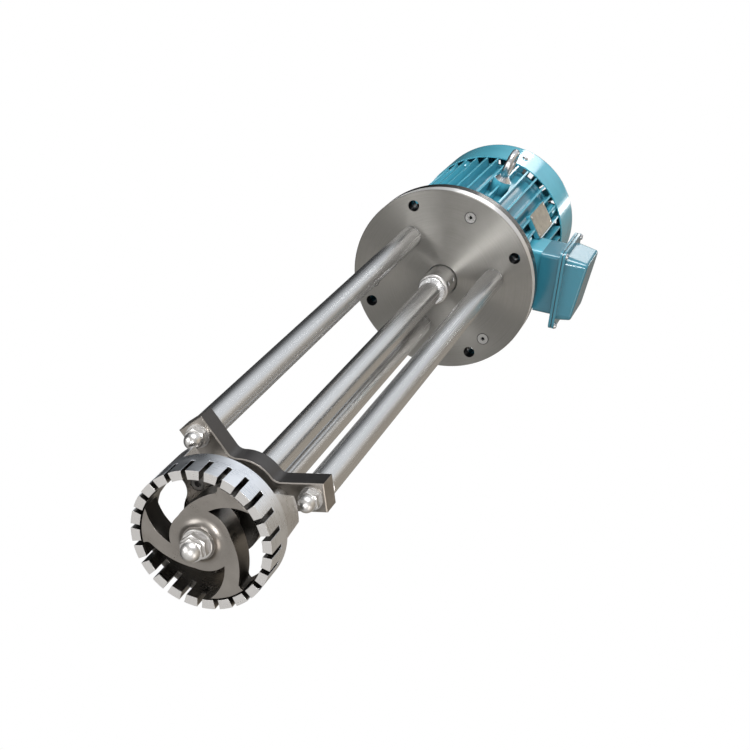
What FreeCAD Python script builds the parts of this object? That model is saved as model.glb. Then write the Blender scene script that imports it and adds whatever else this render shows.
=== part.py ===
import FreeCAD, Part
import math
import os
import Sketcher

# High shear mixer, standing on its motor axis: +Z points from the mixing head to the motor.
# The origin is the centre of the mounting plate's lower face.

os.makedirs("parts", exist_ok=True)
Vector = FreeCAD.Vector
Rotation = FreeCAD.Rotation
doc = FreeCAD.newDocument("HighShearMixer")

SIZES = (
    ("FitGap", 0.05, "radial clearance of a fit"),
    ("FaceGap", 0.3, "gap between a turning piece and a fixed one"),
    ("Bevel", 1, "edge chamfer"),
    ("PlateDia", 250, "mounting plate and motor flange diameter"),
    ("PlateThick", 15, "mounting plate"),
    ("PlateBoreGap", 1.2, "coupling sleeve to the mounting plate"),
    ("MountInset", 17.5, "plate rim to the mounting holes"),
    ("MountHoleDia", 15, "mounting holes"),
    ("MountHoles", 4, "number of mounting holes"),
    ("SpigotDia", 180, "motor flange spigot"),
    ("SpigotHeight", 4.5, "motor flange spigot"),
    ("PlateScrewInset", 8, "spigot to the countersunk screws"),
    ("PlateScrewDia", 8, "countersunk screws"),
    ("PlateScrewGrip", 9, "countersunk screws in the motor flange"),
    ("RodDia", 29, "support rods"),
    ("RodCircle", 143.5, "circle of the support rods"),
    ("RodLength", 656, "support rods between their shoulders"),
    ("RodStudDia", 12, "studs at the rod ends"),
    ("StudTopGap", 1.5, "upper studs to the motor spigot"),
    ("ArmWidth", 30, "bracket arms"),
    ("ArmEnd", 14.25, "rod axis to the end of an arm"),
    ("BracketThick", 24, "lower bracket"),
    ("BracketHubDia", 78, "lower bracket"),
    ("BracketFillet", 10, "between hub and arms"),
    ("BushingDia", 44, "shaft bushing outside"),
    ("BushingLip", 3, "bushing collar under the bracket"),
    ("WasherDia", 24, "washers under the arms"),
    ("WasherThick", 2, "washers under the arms"),
    ("NutWidth", 19, "acorn nuts across flats"),
    ("NutHeight", 8, "acorn nut, hexagon part"),
    ("NutDomeStep", 1, "acorn nut, flats to the dome"),
    ("StatorDia", 140, "stator ring outside"),
    ("StatorWall", 9, "stator ring"),
    ("StatorSpan", 66, "stator, teeth tips to the top of the tabs"),
    ("StatorDrop", 30, "bracket to the top of the stator"),
    ("BandTop", 37.5, "teeth tips to the top of the closed band"),
    ("ToothLength", 23, "stator slots"),
    ("SlotWidth", 5, "stator slots"),
    ("ToothCount", 24, "stator teeth"),
    ("SlotTurn", 4.5, "first slot from the middle between two tabs"),
    ("TabSlopeTop", 13.5, "rod direction to the sloping side of a tab, at its top"),
    ("TabSlopeRoot", 27, "rod direction to the sloping side of a tab, at the band"),
    ("TabSteepTop", 8.5, "rod direction to the steep side of a tab, at its top"),
    ("TabSteepRoot", 10.5, "rod direction to the steep side of a tab, at the band"),
    ("WebThick", 18, "stator web"),
    ("WebHubDia", 78, "stator web"),
    ("WebBoreGap", 3.5, "drive shaft to the stator web"),
    ("WebSlopeEnd", 16.5, "web arm's side at the ring, under a tab's sloping side"),
    ("WebSteepEnd", 9.5, "web arm's side at the ring, under a tab's steep side"),
    ("WebSlopeBow", 17, "hollow side of a web arm"),
    ("WebSteepBow", 24, "hollow side of a web arm"),
    ("StatorScrewCircle", 78, "circle of the stator screws"),
    ("StatorScrewDia", 8, "stator screws"),
    ("SpacerDia", 18, "stator spacers"),
    ("RotorGap", 1, "mixing rotor to the stator ring"),
    ("RotorThick", 24, "mixing rotor blades"),
    ("RotorFaceLift", 1, "rotor face above the teeth tips"),
    ("RotorBossDia", 33, "rotor front boss"),
    ("RotorBossHeight", 6, "rotor front boss"),
    ("RotorRootDia", 50, "foot of the rotor boss"),
    ("RotorRootBow", 9, "hollow curve at the foot of the boss"),
    ("RotorHubDia", 40, "rotor rear hub"),
    ("RotorHubHeight", 6, "rotor rear hub"),
    ("RotorEyeRadius", 30, "inner edge of the rotor openings"),
    ("RotorTipStep", 1.8, "inner edge to the tip of a rotor opening"),
    ("RotorTipAngle", 22.5, "tip of a rotor opening"),
    ("RotorBladeBow", 45.6, "hollow side of a blade"),
    ("RotorBackBow", 76, "rounded back of a blade"),
    ("RotorBackInset", 6, "rotor rim to the back corner of an opening"),
    ("RotorCornerRound", 5, "back corner of an opening"),
    ("RotorOpenStart", 67, "start of an opening at the rim"),
    ("RotorOpenEnd", 145, "end of an opening at the rim"),
    ("ShaftDia", 29, "drive shaft"),
    ("RotorSeatDia", 24, "drive shaft in the rotor"),
    ("ThreadDia", 14, "drive shaft end thread"),
    ("RotorWasherDia", 30, "rotor washer"),
    ("RotorWasherThick", 3, "rotor washer"),
    ("LockNutWidth", 24, "rotor lock nut across flats"),
    ("LockNutHeight", 8, "rotor lock nut"),
    ("DomeNutWidth", 21, "rotor dome nut across flats"),
    ("DomeNutHeight", 5, "rotor dome nut, hexagon part"),
    ("DomeStep", 0.7, "rotor dome nut, flats to the dome"),
    ("SleeveDia", 41, "coupling sleeve"),
    ("SleeveDrop", 42, "coupling sleeve below the plate"),
    ("SleeveTopGap", 1.5, "coupling sleeve to the motor spigot"),
    ("CollarDia", 37, "drive shaft collar"),
    ("CollarHeight", 7, "drive shaft collar"),
    ("ShaftSpigotDia", 22, "drive shaft in the sleeve"),
    ("ShaftEndGap", 2, "drive shaft end to the step in the sleeve"),
    ("SetScrewDia", 6, "coupling set screws"),
    ("MotorEndDia", 28, "motor shaft end"),
    ("MotorEndLength", 38, "motor shaft end below the flange"),
    ("FlangeThick", 15, "motor flange"),
    ("ShieldDepth", 63, "flange face to the frame"),
    ("FrameDia", 188, "motor frame without fins"),
    ("FrameWall", 6, "motor frame"),
    ("FrameLength", 172, "motor frame"),
    ("FinHeight", 14.5, "fins on the frame"),
    ("FinRoot", 5, "fin thickness at its root"),
    ("FinTip", 2.6, "fin thickness at its tip"),
    ("FinCount", 42, "fins round the frame"),
    ("LugDia", 16, "bolt lugs of the frame and shields"),
    ("LugInset", 5, "frame to the bolt lugs' axes"),
    ("LugRun", 22, "bolt lugs of the frame"),
    ("ShieldLugRun", 14, "bolt lugs of the drive-end shield"),
    ("FrameBoltDia", 6, "end shield bolts"),
    ("BearingStep", 1, "motor shaft end to the bearing seats"),
    ("BearingDia", 62, "both bearings"),
    ("BearingWidth", 16, "both bearings"),
    ("InnerRing", 4.8, "inner rings of the bearings"),
    ("DriveBearingLift", 11, "flange face to the drive-end bearing"),
    ("FanBearingDrop", 14, "frame's rear end to the fan-end bearing"),
    ("AirGapDia", 101, "stator core bore"),
    ("CoreStart", 27, "frame's front end to the cores"),
    ("CoreEnd", 29, "cores to the frame's rear end"),
    ("WindingHeight", 17, "winding ends past the core"),
    ("WindingInset", 6, "winding ends to the frame and the air gap"),
    ("CageHeight", 6, "end rings of the rotor core"),
    ("CageWidth", 13, "end rings of the rotor core"),
    ("CoreShaftStep", 5, "bearing seat to the core seat"),
    ("FanShaftStep", 3, "bearing seat to the fan seat"),
    ("CowlStep", 1.5, "fan cowl outside the fin tips"),
    ("CowlWall", 2, "fan cowl"),
    ("CowlLength", 85, "fan cowl"),
    ("CowlGap", 2, "frame to the cowl's front edge"),
    ("CowlRound", 12, "fan cowl rear edge"),
    ("CowlScrewPlace", 36, "cowl's front edge to its screws"),
    ("GrilleInner", 30, "inner end of the cowl slots"),
    ("GrilleInset", 26, "cowl side to the outer end of its slots"),
    ("GrilleCount", 18, "cowl slots"),
    ("FanLift", 20, "frame's rear end to the fan"),
    ("FanHub", 30, "cooling fan hub"),
    ("FanInset", 8, "frame to the fan tips"),
    ("FanHeight", 40, "cooling fan blades"),
    ("FanBlades", 8, "cooling fan"),
    ("EyePlace", 132, "flange face to the eye bolt"),
    ("EyeBossDia", 26, "boss of the eye bolt"),
    ("EyeBossHeight", 5.5, "fin tips to the top of the eye bolt's boss"),
    ("EyeRingDia", 35, "eye bolt ring centre line"),
    ("EyeWireDia", 10, "eye bolt ring wire"),
    ("BoxTurn", -16, "direction of the terminal box"),
    ("BoxCentre", 88, "flange face to the middle of the box"),
    ("BoxFootHeight", 7.5, "fin tips to the box foot"),
    ("BoxDepth", 32, "terminal box without its lid"),
    ("BoxRimWidth", 112, "terminal box rim"),
    ("BoxRimLength", 105, "terminal box rim"),
    ("BoxRimThick", 3.5, "terminal box rim"),
    ("BoxRimCorner", 9, "terminal box rim"),
    ("BoxNeckWidth", 86, "terminal box foot"),
    ("BoxNeckLength", 68, "terminal box foot"),
    ("BoxWall", 3.5, "terminal box"),
    ("LidInset", 9, "rim to the lid's walls"),
    ("LidDepth", 34.5, "terminal box lid at its deep side"),
    ("LidDrop", 13, "slope across the lid's face"),
    ("LidDraft", 10, "slope of the lid's sides"),
    ("LidCorner", 12, "terminal box lid"),
    ("LidRound", 4, "edges of the lid's face"),
    ("LidScrewDia", 5, "terminal box lid screws"),
    ("LidScrewInset", 5.5, "rim to the lid screws"),
    ("GasketThick", 1, "terminal box"),
    ("GlandDia", 16, "cable gland thread"),
    ("GlandWidth", 17, "cable gland across flats"),
    ("GlandLength", 20, "cable gland outside the box"),
    ("CableDia", 10, "cable gland bore"),
    ("PlateTurn", -49, "direction of the nameplate"),
    ("NamePlateWidth", 34, "nameplate"),
    ("NamePlateLength", 78, "nameplate"),
    ("NamePlateStart", 108, "flange face to the nameplate"),
)


class Size:
    """A number that also knows the sheet expression it comes from."""

    def __init__(self, value, text):
        self.value = float(value)
        self.text = text

    def __float__(self):
        return self.value

    def __neg__(self):
        return Size(-self.value, f"(0 - {self.text})")

    def __add__(self, other):
        other = as_size(other)
        return Size(self.value + other.value, f"({self.text} + {other.text})")

    def __radd__(self, other):
        return as_size(other) + self

    def __sub__(self, other):
        other = as_size(other)
        return Size(self.value - other.value, f"({self.text} - {other.text})")

    def __rsub__(self, other):
        return as_size(other) - self

    def __mul__(self, other):
        other = as_size(other)
        return Size(self.value * other.value, f"({self.text} * {other.text})")

    def __rmul__(self, other):
        return as_size(other) * self

    def __truediv__(self, other):
        other = as_size(other)
        return Size(self.value / other.value, f"({self.text} / {other.text})")


def as_size(number):
    if isinstance(number, Size):
        return number
    return Size(number, f"({float(number)})")


def cosine(angle):
    angle = as_size(angle)
    return Size(math.cos(math.radians(angle.value)), f"cos({angle.text} * 1 deg)")


def sine(angle):
    angle = as_size(angle)
    return Size(math.sin(math.radians(angle.value)), f"sin({angle.text} * 1 deg)")


def root(number):
    return Size(math.sqrt(number.value), f"sqrt({number.text})")


def bind(item, prop, size):
    item.setExpression(prop, as_size(size).text)


sheet = doc.addObject("Spreadsheet::Sheet", "Sizes")
dim = {}
for row, (alias, value, note) in enumerate(SIZES, 1):
    sheet.set(f"A{row}", alias)
    sheet.set(f"B{row}", str(value))
    sheet.setAlias(f"B{row}", alias)
    sheet.set(f"C{row}", note)
    dim[alias] = Size(value, f"Sizes.{alias}")
doc.recompute()


# Sketches

def origin_part(body, role):
    return next(item for item in body.Origin.OriginFeatures if item.Role == role)


def sketch_on(body, name, role="XY_Plane", lift=0, turn=None):
    """A sketch on an origin plane of the body, lifted along and turned round its normal."""
    sketch = body.newObject("Sketcher::SketchObject", name)
    sketch.AttachmentSupport = [(origin_part(body, role), "")]
    sketch.MapMode = "FlatFace"
    if turn is not None:
        sketch.AttachmentOffset = FreeCAD.Placement(Vector(), Rotation(Vector(0, 0, 1), float(turn)))
        bind(sketch, "AttachmentOffset.Rotation.Angle", turn)
    bind(sketch, "AttachmentOffset.Base.z", lift)
    return sketch


def point_rules(geometry, end, x, y):
    """Rules that hold one end of a curve at x, y from the sketch origin."""
    rules = []
    for kind, axis, size in (("DistanceX", -2, as_size(x)), ("DistanceY", -1, as_size(y))):
        if abs(size.value) < 1e-9:
            rules.append((Sketcher.Constraint("PointOnObject", geometry, end, axis), None))
        elif size.value > 0:
            rules.append((Sketcher.Constraint(kind, -1, 1, geometry, end, size.value), size.text))
        else:
            rules.append((Sketcher.Constraint(kind, geometry, end, -1, 1, -size.value), (-size).text))
    return rules


def apply_rules(sketch, rules):
    first = sketch.ConstraintCount
    sketch.addConstraint([rule for rule, _ in rules])
    for index, (_, text) in enumerate(rules, first):
        if text is not None:
            sketch.setExpression(f"Constraints[{index}]", text)


def bow_curve(start, end, radius):
    """The shorter arc from start to end: it turns left where radius is positive."""
    chord = end - start
    side = 1 if radius > 0 else -1
    rise = math.sqrt(radius ** 2 - chord.Length ** 2 / 4)
    middle = (start + end) / 2
    centre = middle + Vector(-chord.y, chord.x, 0).normalize() * rise * side
    first, last = (start, end) if side > 0 else (end, start)
    angles = [math.atan2(p.y - centre.y, p.x - centre.x) for p in (first, last)]
    return Part.ArcOfCircle(Part.Circle(centre, Vector(0, 0, 1), abs(radius)), *angles)


def outline(sketch, corners, bows=None):
    """A closed outline. bows gives the radius of the edge that leaves a corner."""
    bows = bows or {}
    count = len(corners)
    spots = [Vector(float(x), float(y), 0) for x, y in corners]
    curves, ends = [], []
    for i, spot in enumerate(spots):
        following = spots[(i + 1) % count]
        if i in bows:
            curves.append(bow_curve(spot, following, float(bows[i])))
            ends.append((1, 2) if float(bows[i]) > 0 else (2, 1))
        else:
            curves.append(Part.LineSegment(spot, following))
            ends.append((1, 2))
    first = sketch.GeometryCount
    sketch.addGeometry(curves, False)
    rules = []
    for i, (x, y) in enumerate(corners):
        here, following = first + i, first + (i + 1) % count
        rules += point_rules(here, ends[i][0], x, y)
        joint = Sketcher.Constraint("Coincident", here, ends[i][1], following, ends[(i + 1) % count][0])
        rules.append((joint, None))
        if i in bows:
            radius = as_size(bows[i])
            radius = radius if radius.value > 0 else -radius
            rules.append((Sketcher.Constraint("Radius", here, radius.value), radius.text))
    apply_rules(sketch, rules)


def ring(sketch, radius, x=0, y=0):
    """A circle of the sketch."""
    circle = Part.Circle(Vector(float(x), float(y), 0), Vector(0, 0, 1), float(radius))
    index = sketch.addGeometry(circle, False)
    rules = point_rules(index, 3, x, y)
    if abs(float(x)) < 1e-9 and abs(float(y)) < 1e-9:
        rules = [(Sketcher.Constraint("Coincident", index, 3, -1, 1), None)]
    radius = as_size(radius)
    rules.append((Sketcher.Constraint("Radius", index, radius.value), radius.text))
    apply_rules(sketch, rules)


def box_outline(sketch, x0, x1, y0, y1):
    outline(sketch, [(x0, y0), (x1, y0), (x1, y1), (x0, y1)])


def panel_outline(sketch, x, y, corner, shift=0):
    """A rectangle of half sizes x and y with round corners, moved along X."""
    ends = [(-x, -y), (x, -y), (x, y), (-x, y)]
    steps = [((0, corner), (corner, 0)), ((-corner, 0), (0, corner)),
             ((0, -corner), (-corner, 0)), ((corner, 0), (0, -corner))]
    spots = [(cx + dx + shift, cy + dy) for (cx, cy), pair in zip(ends, steps) for dx, dy in pair]
    outline(sketch, spots, {i: corner for i in (0, 2, 4, 6)})


# Features of a body

def new_body(name):
    body = doc.addObject("PartDesign::Body", name)
    body.Label = name
    return body


def pad(body, name, sketch, length, draft=None, back=False):
    feature = body.newObject("PartDesign::Pad", name)
    feature.Profile = sketch
    feature.Reversed = back
    bind(feature, "Length", length)
    if draft is not None:
        bind(feature, "TaperAngle", draft)
    return feature


def pocket(body, name, sketch, depth, draft=None, back=True):
    """Cuts along the sketch's normal where back is true."""
    feature = body.newObject("PartDesign::Pocket", name)
    feature.Profile = sketch
    feature.Reversed = back
    bind(feature, "Length", depth)
    if draft is not None:
        bind(feature, "TaperAngle", draft)
    return feature


def around(body, feature, count):
    """Repeats a feature evenly round the body's Z axis."""
    pattern = body.newObject("PartDesign::PolarPattern", feature.Name + "Ring")
    pattern.Originals = [feature]
    pattern.Axis = (origin_part(body, "Z_Axis"), [""])
    pattern.Angle = 360
    pattern.Occurrences = int(float(count))
    if isinstance(count, Size):
        bind(pattern, "Occurrences", count)
    body.Tip = pattern
    return pattern


def turned(name, corners, bows=None):
    """A body turned round Z from radius and height corners, counter-clockwise."""
    body = new_body(name)
    sketch = sketch_on(body, name + "Profile", "XZ_Plane")
    outline(sketch, corners, bows)
    feature = body.newObject("PartDesign::Revolution", name + "Turn")
    feature.Profile = sketch
    feature.ReferenceAxis = (sketch, ["V_Axis"])
    feature.Angle = 360
    return body


def holes(body, name, spots, radius, start, depth, count=None):
    """Round holes upwards from height start, repeated round the Z axis."""
    sketch = sketch_on(body, name + "Sketch", lift=start)
    for x, y in spots:
        ring(sketch, radius, x, y)
    feature = pocket(body, name, sketch, depth)
    if count is not None:
        around(body, feature, count)


def seats(body, name, spot, start, wide, narrow, depth, count):
    """Conical seats that narrow upwards from height start, repeated round the Z axis."""
    seat = body.newObject("PartDesign::SubtractiveCone", name)
    seat.AttachmentSupport = [(origin_part(body, "XY_Plane"), "")]
    seat.MapMode = "FlatFace"
    for letter, size in zip("xyz", (*spot, start)):
        bind(seat, f"AttachmentOffset.Base.{letter}", size)
    bind(seat, "Radius1", wide)
    bind(seat, "Radius2", narrow)
    bind(seat, "Height", depth)
    around(body, seat, count)


def smooth(body, name, radius, chosen, kind="PartDesign::Fillet"):
    """Rounds or bevels the edges of the body that the test picks."""
    doc.recompute()
    base = body.Tip
    edges = [f"Edge{i}" for i, edge in enumerate(base.Shape.Edges, 1) if chosen(edge)]
    feature = body.newObject(kind, name)
    feature.Base = (base, edges)
    bind(feature, "Radius" if kind.endswith("Fillet") else "Size", radius)
    return feature


def upright(edge):
    """Whether a straight edge is parallel to Z."""
    if not isinstance(edge.Curve, Part.Line):
        return False
    return abs(abs(edge.Curve.Direction.z) - 1) < 1e-6


def reach(edge):
    """Distance of an edge's middle from the Z axis."""
    middle = edge.CenterOfMass
    return math.hypot(middle.x, middle.y)


# Plain solids and what is made of them

def place(item, x=0, y=0, z=0, axis=None, turn=None):
    if axis is not None:
        item.Placement = FreeCAD.Placement(Vector(), Rotation(Vector(*axis), float(turn)))
        if isinstance(turn, Size):
            bind(item, "Placement.Rotation.Angle", turn)
    for letter, size in (("x", x), ("y", y), ("z", z)):
        bind(item, f"Placement.Base.{letter}", size)
    return item


def cylinder(name, radius, height, **where):
    item = doc.addObject("Part::Cylinder", name)
    bind(item, "Radius", radius)
    bind(item, "Height", height)
    return place(item, **where)


def cone(name, lower, upper, height, **where):
    item = doc.addObject("Part::Cone", name)
    bind(item, "Radius1", lower)
    bind(item, "Radius2", upper)
    bind(item, "Height", height)
    return place(item, **where)


def hexagon(name, width, height, **where):
    """A hexagonal prism given by its width across flats."""
    item = doc.addObject("Part::Prism", name)
    item.Polygon = 6
    bind(item, "Circumradius", as_size(width) / root(as_size(3)))
    bind(item, "Height", height)
    return place(item, **where)


def block(name, length, width, height, **where):
    item = doc.addObject("Part::Box", name)
    bind(item, "Length", length)
    bind(item, "Width", width)
    bind(item, "Height", height)
    return place(item, **where)


def ball(name, radius, low, high, **where):
    """The slice of a ball between two latitudes."""
    item = doc.addObject("Part::Sphere", name)
    bind(item, "Radius", radius)
    item.Angle1 = low
    item.Angle2 = high
    return place(item, **where)


def fuse(name, items):
    item = doc.addObject("Part::MultiFuse", name)
    item.Shapes = items
    item.Refine = True
    return item


def cut(name, base, tools):
    item = doc.addObject("Part::Cut", name)
    item.Base = base
    item.Tool = tools[0] if len(tools) == 1 else fuse(name + "Tools", tools)
    item.Refine = True
    return item


def common(name, base, tool):
    item = doc.addObject("Part::Common", name)
    item.Base = base
    item.Tool = tool
    item.Refine = True
    return item


def outward(item, turn, radius=0, z=0, aside=0):
    """Points an item's own Z away from the motor axis, and its own X towards the head."""
    turn, radius, z, aside = (as_size(size).text for size in (turn, radius, z, aside))
    swing = f"placement(vector(0; 0; 0); rotation(vector(0; 0; 1); {turn}))"
    stand = f"placement(vector({radius}; {aside}; {z}); rotation(vector(0; 1; 0); 90))"
    item.setExpression("Placement", f"{swing} * {stand}")
    return item


def downward(item, x, y, z):
    """Points an item's own Z towards the head."""
    return place(item, x=x, y=y, z=z, axis=(1, 0, 0), turn=180)


def copy_of(master, name):
    item = doc.addObject("App::Link", name)
    item.LinkedObject = master
    return item


def group(name, items):
    """Separate solids that share a node."""
    item = doc.addObject("Part::Compound", name)
    item.Links = items
    item.Label = name
    return item


def polar(radius, angle):
    return radius * cosine(angle), radius * sine(angle)


def each(count, start=0):
    """Evenly spaced angles round the axis."""
    return [start + 360 / count * k for k in range(count)]


# Shared sizes and levels

gap = dim["FitGap"]
bevel = dim["Bevel"]
plate_r = dim["PlateDia"] / 2
plate_t = dim["PlateThick"]
mount_r = plate_r - dim["MountInset"]
rod_r = dim["RodDia"] / 2
rod_circle = dim["RodCircle"] / 2
stud_r = dim["RodStudDia"] / 2
bracket_top = -dim["RodLength"]
bracket_low = bracket_top - dim["BracketThick"]
stator_top = bracket_low - dim["StatorDrop"]
teeth_low = stator_top - dim["StatorSpan"]
band_top = teeth_low + dim["BandTop"]
web_low = stator_top - dim["WebThick"]
shaft_r = dim["ShaftDia"] / 2
rotor_low = teeth_low + dim["RotorFaceLift"]
rotor_high = rotor_low + dim["RotorThick"]
rotor_front = rotor_low - dim["RotorBossHeight"]
rotor_back = rotor_high + dim["RotorHubHeight"]
seat_r = dim["RotorSeatDia"] / 2
thread_r = dim["ThreadDia"] / 2
sleeve_low = -dim["SleeveDrop"]
sleeve_r = dim["SleeveDia"] / 2
face = plate_t
flange_top = face + dim["FlangeThick"]
frame_low = face + dim["ShieldDepth"]
frame_high = frame_low + dim["FrameLength"]
frame_r = dim["FrameDia"] / 2
frame_bore = frame_r - dim["FrameWall"]
fin_r = frame_r + dim["FinHeight"]
spigot_r = dim["SpigotDia"] / 2
bearing_r = dim["BearingDia"] / 2
motor_end_r = dim["MotorEndDia"] / 2
bearing_bore = motor_end_r + dim["BearingStep"]
bearing_split = bearing_bore + dim["InnerRing"]
core_low = frame_low + dim["CoreStart"]
core_high = frame_high - dim["CoreEnd"]
drive_bearing = face + dim["DriveBearingLift"]
fan_bearing = frame_high - dim["FanBearingDrop"]
ROD_TURNS = each(3, 90)
SCREW_TURNS = each(3, 30)
LUG_TURNS = each(4, 45)
COWL_TURNS = each(4, 0)
lug_circle = frame_r + dim["LugInset"]
lug_r = dim["LugDia"] / 2
bolt_r = dim["FrameBoltDia"] / 2
stator_r = dim["StatorDia"] / 2
stator_bore = stator_r - dim["StatorWall"]
rotor_r = stator_bore - dim["RotorGap"]


# Mounting plate, its screws and the support rods

seam = 0.5
bore = sleeve_r + dim["PlateBoreGap"]
recess_r = spigot_r + dim["FaceGap"]
spigot_low = face - dim["SpigotHeight"]
recess_low = spigot_low - seam
plate = turned("mounting_plate", [
    (bore, 0), (plate_r - bevel, 0), (plate_r, bevel), (plate_r, plate_t - seam),
    (plate_r - seam, plate_t), (recess_r, plate_t), (recess_r, recess_low), (bore, recess_low)])
plate_screw_reach = face + dim["PlateScrewGrip"]
screw_r = dim["PlateScrewDia"] / 2
screw_circle = spigot_r + dim["PlateScrewInset"]
screw_spot = polar(screw_circle, SCREW_TURNS[0])
holes(plate, "MountHole", [polar(mount_r, LUG_TURNS[0])], dim["MountHoleDia"] / 2, 0, plate_t,
      dim["MountHoles"])
holes(plate, "RodHole", [polar(rod_circle, ROD_TURNS[0])], stud_r + gap, 0, plate_t, 3)
holes(plate, "ScrewHole", [screw_spot], screw_r + 0.5, 0, plate_t, 3)
seats(plate, "ScrewSeat", screw_spot, 0, screw_r * 2 + 0.3, screw_r + 0.3, screw_r, 3)


def sunk_screw(name, radius, length, key):
    """A countersunk screw, head at its own zero level, with a hexagon socket of width key."""
    shape = turned(name + "Blank", [
        (0, 0), (radius * 2, 0), (radius, radius), (radius, length), (0, length)])
    return cut(name, shape, [hexagon(name + "Socket", key, radius * 0.75)])


def cap_screw(name, radius, length):
    """A socket head screw, seat of the head at its own zero level, shank upwards."""
    head_r = radius * 1.625
    head = radius * 2
    shape = turned(name + "Blank", [
        (0, -head), (head_r, -head), (head_r, 0), (radius, 0), (radius, length), (0, length)])
    return cut(name, shape, [hexagon(name + "Socket", radius * 1.5, radius, z=-head)])


def pan_screw(name, radius, length):
    """A low-headed screw with a hexagon socket, its shank below its own zero level."""
    head_r = radius * 1.9
    head = radius * 1.1
    shape = turned(name + "Blank", [
        (0, -length), (radius, -length), (radius, 0), (head_r, 0), (head_r * 0.65, head), (0, head)])
    return cut(name, shape, [hexagon(name + "Socket", radius * 1.2, head * 0.6, z=head * 0.4)])


plate_screw = sunk_screw("PlateScrew", screw_r, plate_screw_reach, screw_r * 1.25)
group("plate_screws", [
    place(copy_of(plate_screw, f"PlateScrew{k}"), *polar(screw_circle, turn))
    for k, turn in enumerate(SCREW_TURNS, 1)])

neck = 0.9
neck_low = -6.5
neck_high = -5
washer_t = dim["WasherThick"]
nut_top = bracket_low - washer_t
stud_low = nut_top - dim["NutHeight"] - 7
stud_top = recess_low - dim["StudTopGap"]
for k, turn in enumerate(ROD_TURNS, 1):
    rod = turned(f"support_rod_{k}", [
        (0, stud_low), (stud_r, stud_low), (stud_r, bracket_top), (rod_r - bevel, bracket_top),
        (rod_r, bracket_top + bevel), (rod_r, neck_low), (rod_r - neck, neck_low),
        (rod_r - neck, neck_high), (rod_r, neck_high), (rod_r, -bevel), (rod_r - bevel, 0),
        (stud_r, 0), (stud_r, stud_top), (0, stud_top)])
    place(rod, *polar(rod_circle, turn))

# Lower bracket with its bushing, washers and nuts


def star(sketch, arms, per_arm, bows):
    """An outline that repeats the corners and bows of one arm, given along X, round the centre."""
    spots, all_bows = [], {}
    for k, turn in enumerate(arms):
        for i, (along, across) in enumerate(per_arm):
            spots.append((along * cosine(turn) - across * sine(turn),
                          along * sine(turn) + across * cosine(turn)))
            if i in bows:
                all_bows[k * len(per_arm) + i] = bows[i]
    outline(sketch, spots, all_bows)


arm = dim["ArmWidth"] / 2
hub_r = dim["BracketHubDia"] / 2
blend = dim["BracketFillet"]
blend_x = root((hub_r + blend) * (hub_r + blend) - (arm + blend) * (arm + blend))
hub_share = Size(float(hub_r) / float(hub_r + blend), f"({hub_r.text} / {(hub_r + blend).text})")
hub_spot = (blend_x * hub_share, (arm + blend) * hub_share)
arm_end = rod_circle + dim["ArmEnd"]
bracket = new_body("lower_bracket")
star_sketch = sketch_on(bracket, "BracketOutline", lift=bracket_low)
star(star_sketch, ROD_TURNS, [
    (hub_spot[0], -hub_spot[1]), (blend_x, -arm), (arm_end, -arm), (arm_end, arm),
    (blend_x, arm), hub_spot], {0: -blend, 4: -blend, 5: hub_r})
pad(bracket, "BracketPlate", star_sketch, dim["BracketThick"])
smooth(bracket, "BracketBevel", bevel, lambda edge: not upright(edge), "PartDesign::Chamfer")
bushing_r = dim["BushingDia"] / 2
stator_screws = dim["StatorScrewCircle"] / 2
stator_screw_r = dim["StatorScrewDia"] / 2
holes(bracket, "BushingBore", [(0, 0)], bushing_r + gap, bracket_low, dim["BracketThick"])
holes(bracket, "StudHole", [polar(rod_circle, ROD_TURNS[0])], stud_r + 0.25, bracket_low,
      dim["BracketThick"], 3)
stator_grip = stator_screw_r * 3.5
holes(bracket, "StatorThread", [polar(stator_screws, ROD_TURNS[0])], stator_screw_r + gap, bracket_low,
      stator_grip + 2, 3)

lip = dim["BushingLip"]
bushing_in = shaft_r + gap
turned("shaft_bushing", [
    (bushing_in + 0.5, bracket_low - lip), (bushing_r + 2.5, bracket_low - lip),
    (bushing_r + lip, bracket_low + 0.5 - lip), (bushing_r + lip, bracket_low), (bushing_r, bracket_low),
    (bushing_r, bracket_top - 0.5), (bushing_r - 0.5, bracket_top), (bushing_in + 0.5, bracket_top),
    (bushing_in, bracket_top - 0.5), (bushing_in, bracket_low + 0.5 - lip)])

washer_r = dim["WasherDia"] / 2
washer = turned("Washer", [
    (stud_r + 0.5, 0), (washer_r, 0), (washer_r, washer_t), (stud_r + 0.5, washer_t)])
group("rod_washers", [
    downward(copy_of(washer, f"Washer{k}"), *polar(rod_circle, turn), bracket_low)
    for k, turn in enumerate(ROD_TURNS, 1)])


def nut_blank(name, width, height):
    """A hexagon whose corners are turned off at its upper face."""
    reach_r = width / 2
    return common(name, hexagon(name + "Hexagon", width, height),
                  cone(name + "Cone", reach_r + height * 1.73, reach_r, height))


def dome_nut(name, width, height, dome, low, thread, depth):
    """A closed nut standing on its own zero level, its dome centred at height low."""
    body = fuse(name + "Solid", [
        nut_blank(name + "Blank", width, height), cylinder(name + "Neck", dome, low),
        ball(name + "Dome", dome, 0, 90, z=low)])
    return cut(name, body, [cylinder(name + "Thread", thread, depth)])


dome_r = dim["NutWidth"] / 2 - dim["NutDomeStep"]
acorn = dome_nut("AcornNut", dim["NutWidth"], dim["NutHeight"], dome_r, dim["NutHeight"] + 3.5,
                 stud_r + gap, nut_top - stud_low + 0.5)
group("rod_acorn_nuts", [
    downward(copy_of(acorn, f"AcornNut{k}"), *polar(rod_circle, turn), nut_top)
    for k, turn in enumerate(ROD_TURNS, 1)])

# Stator ring with its spacers and screws

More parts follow.
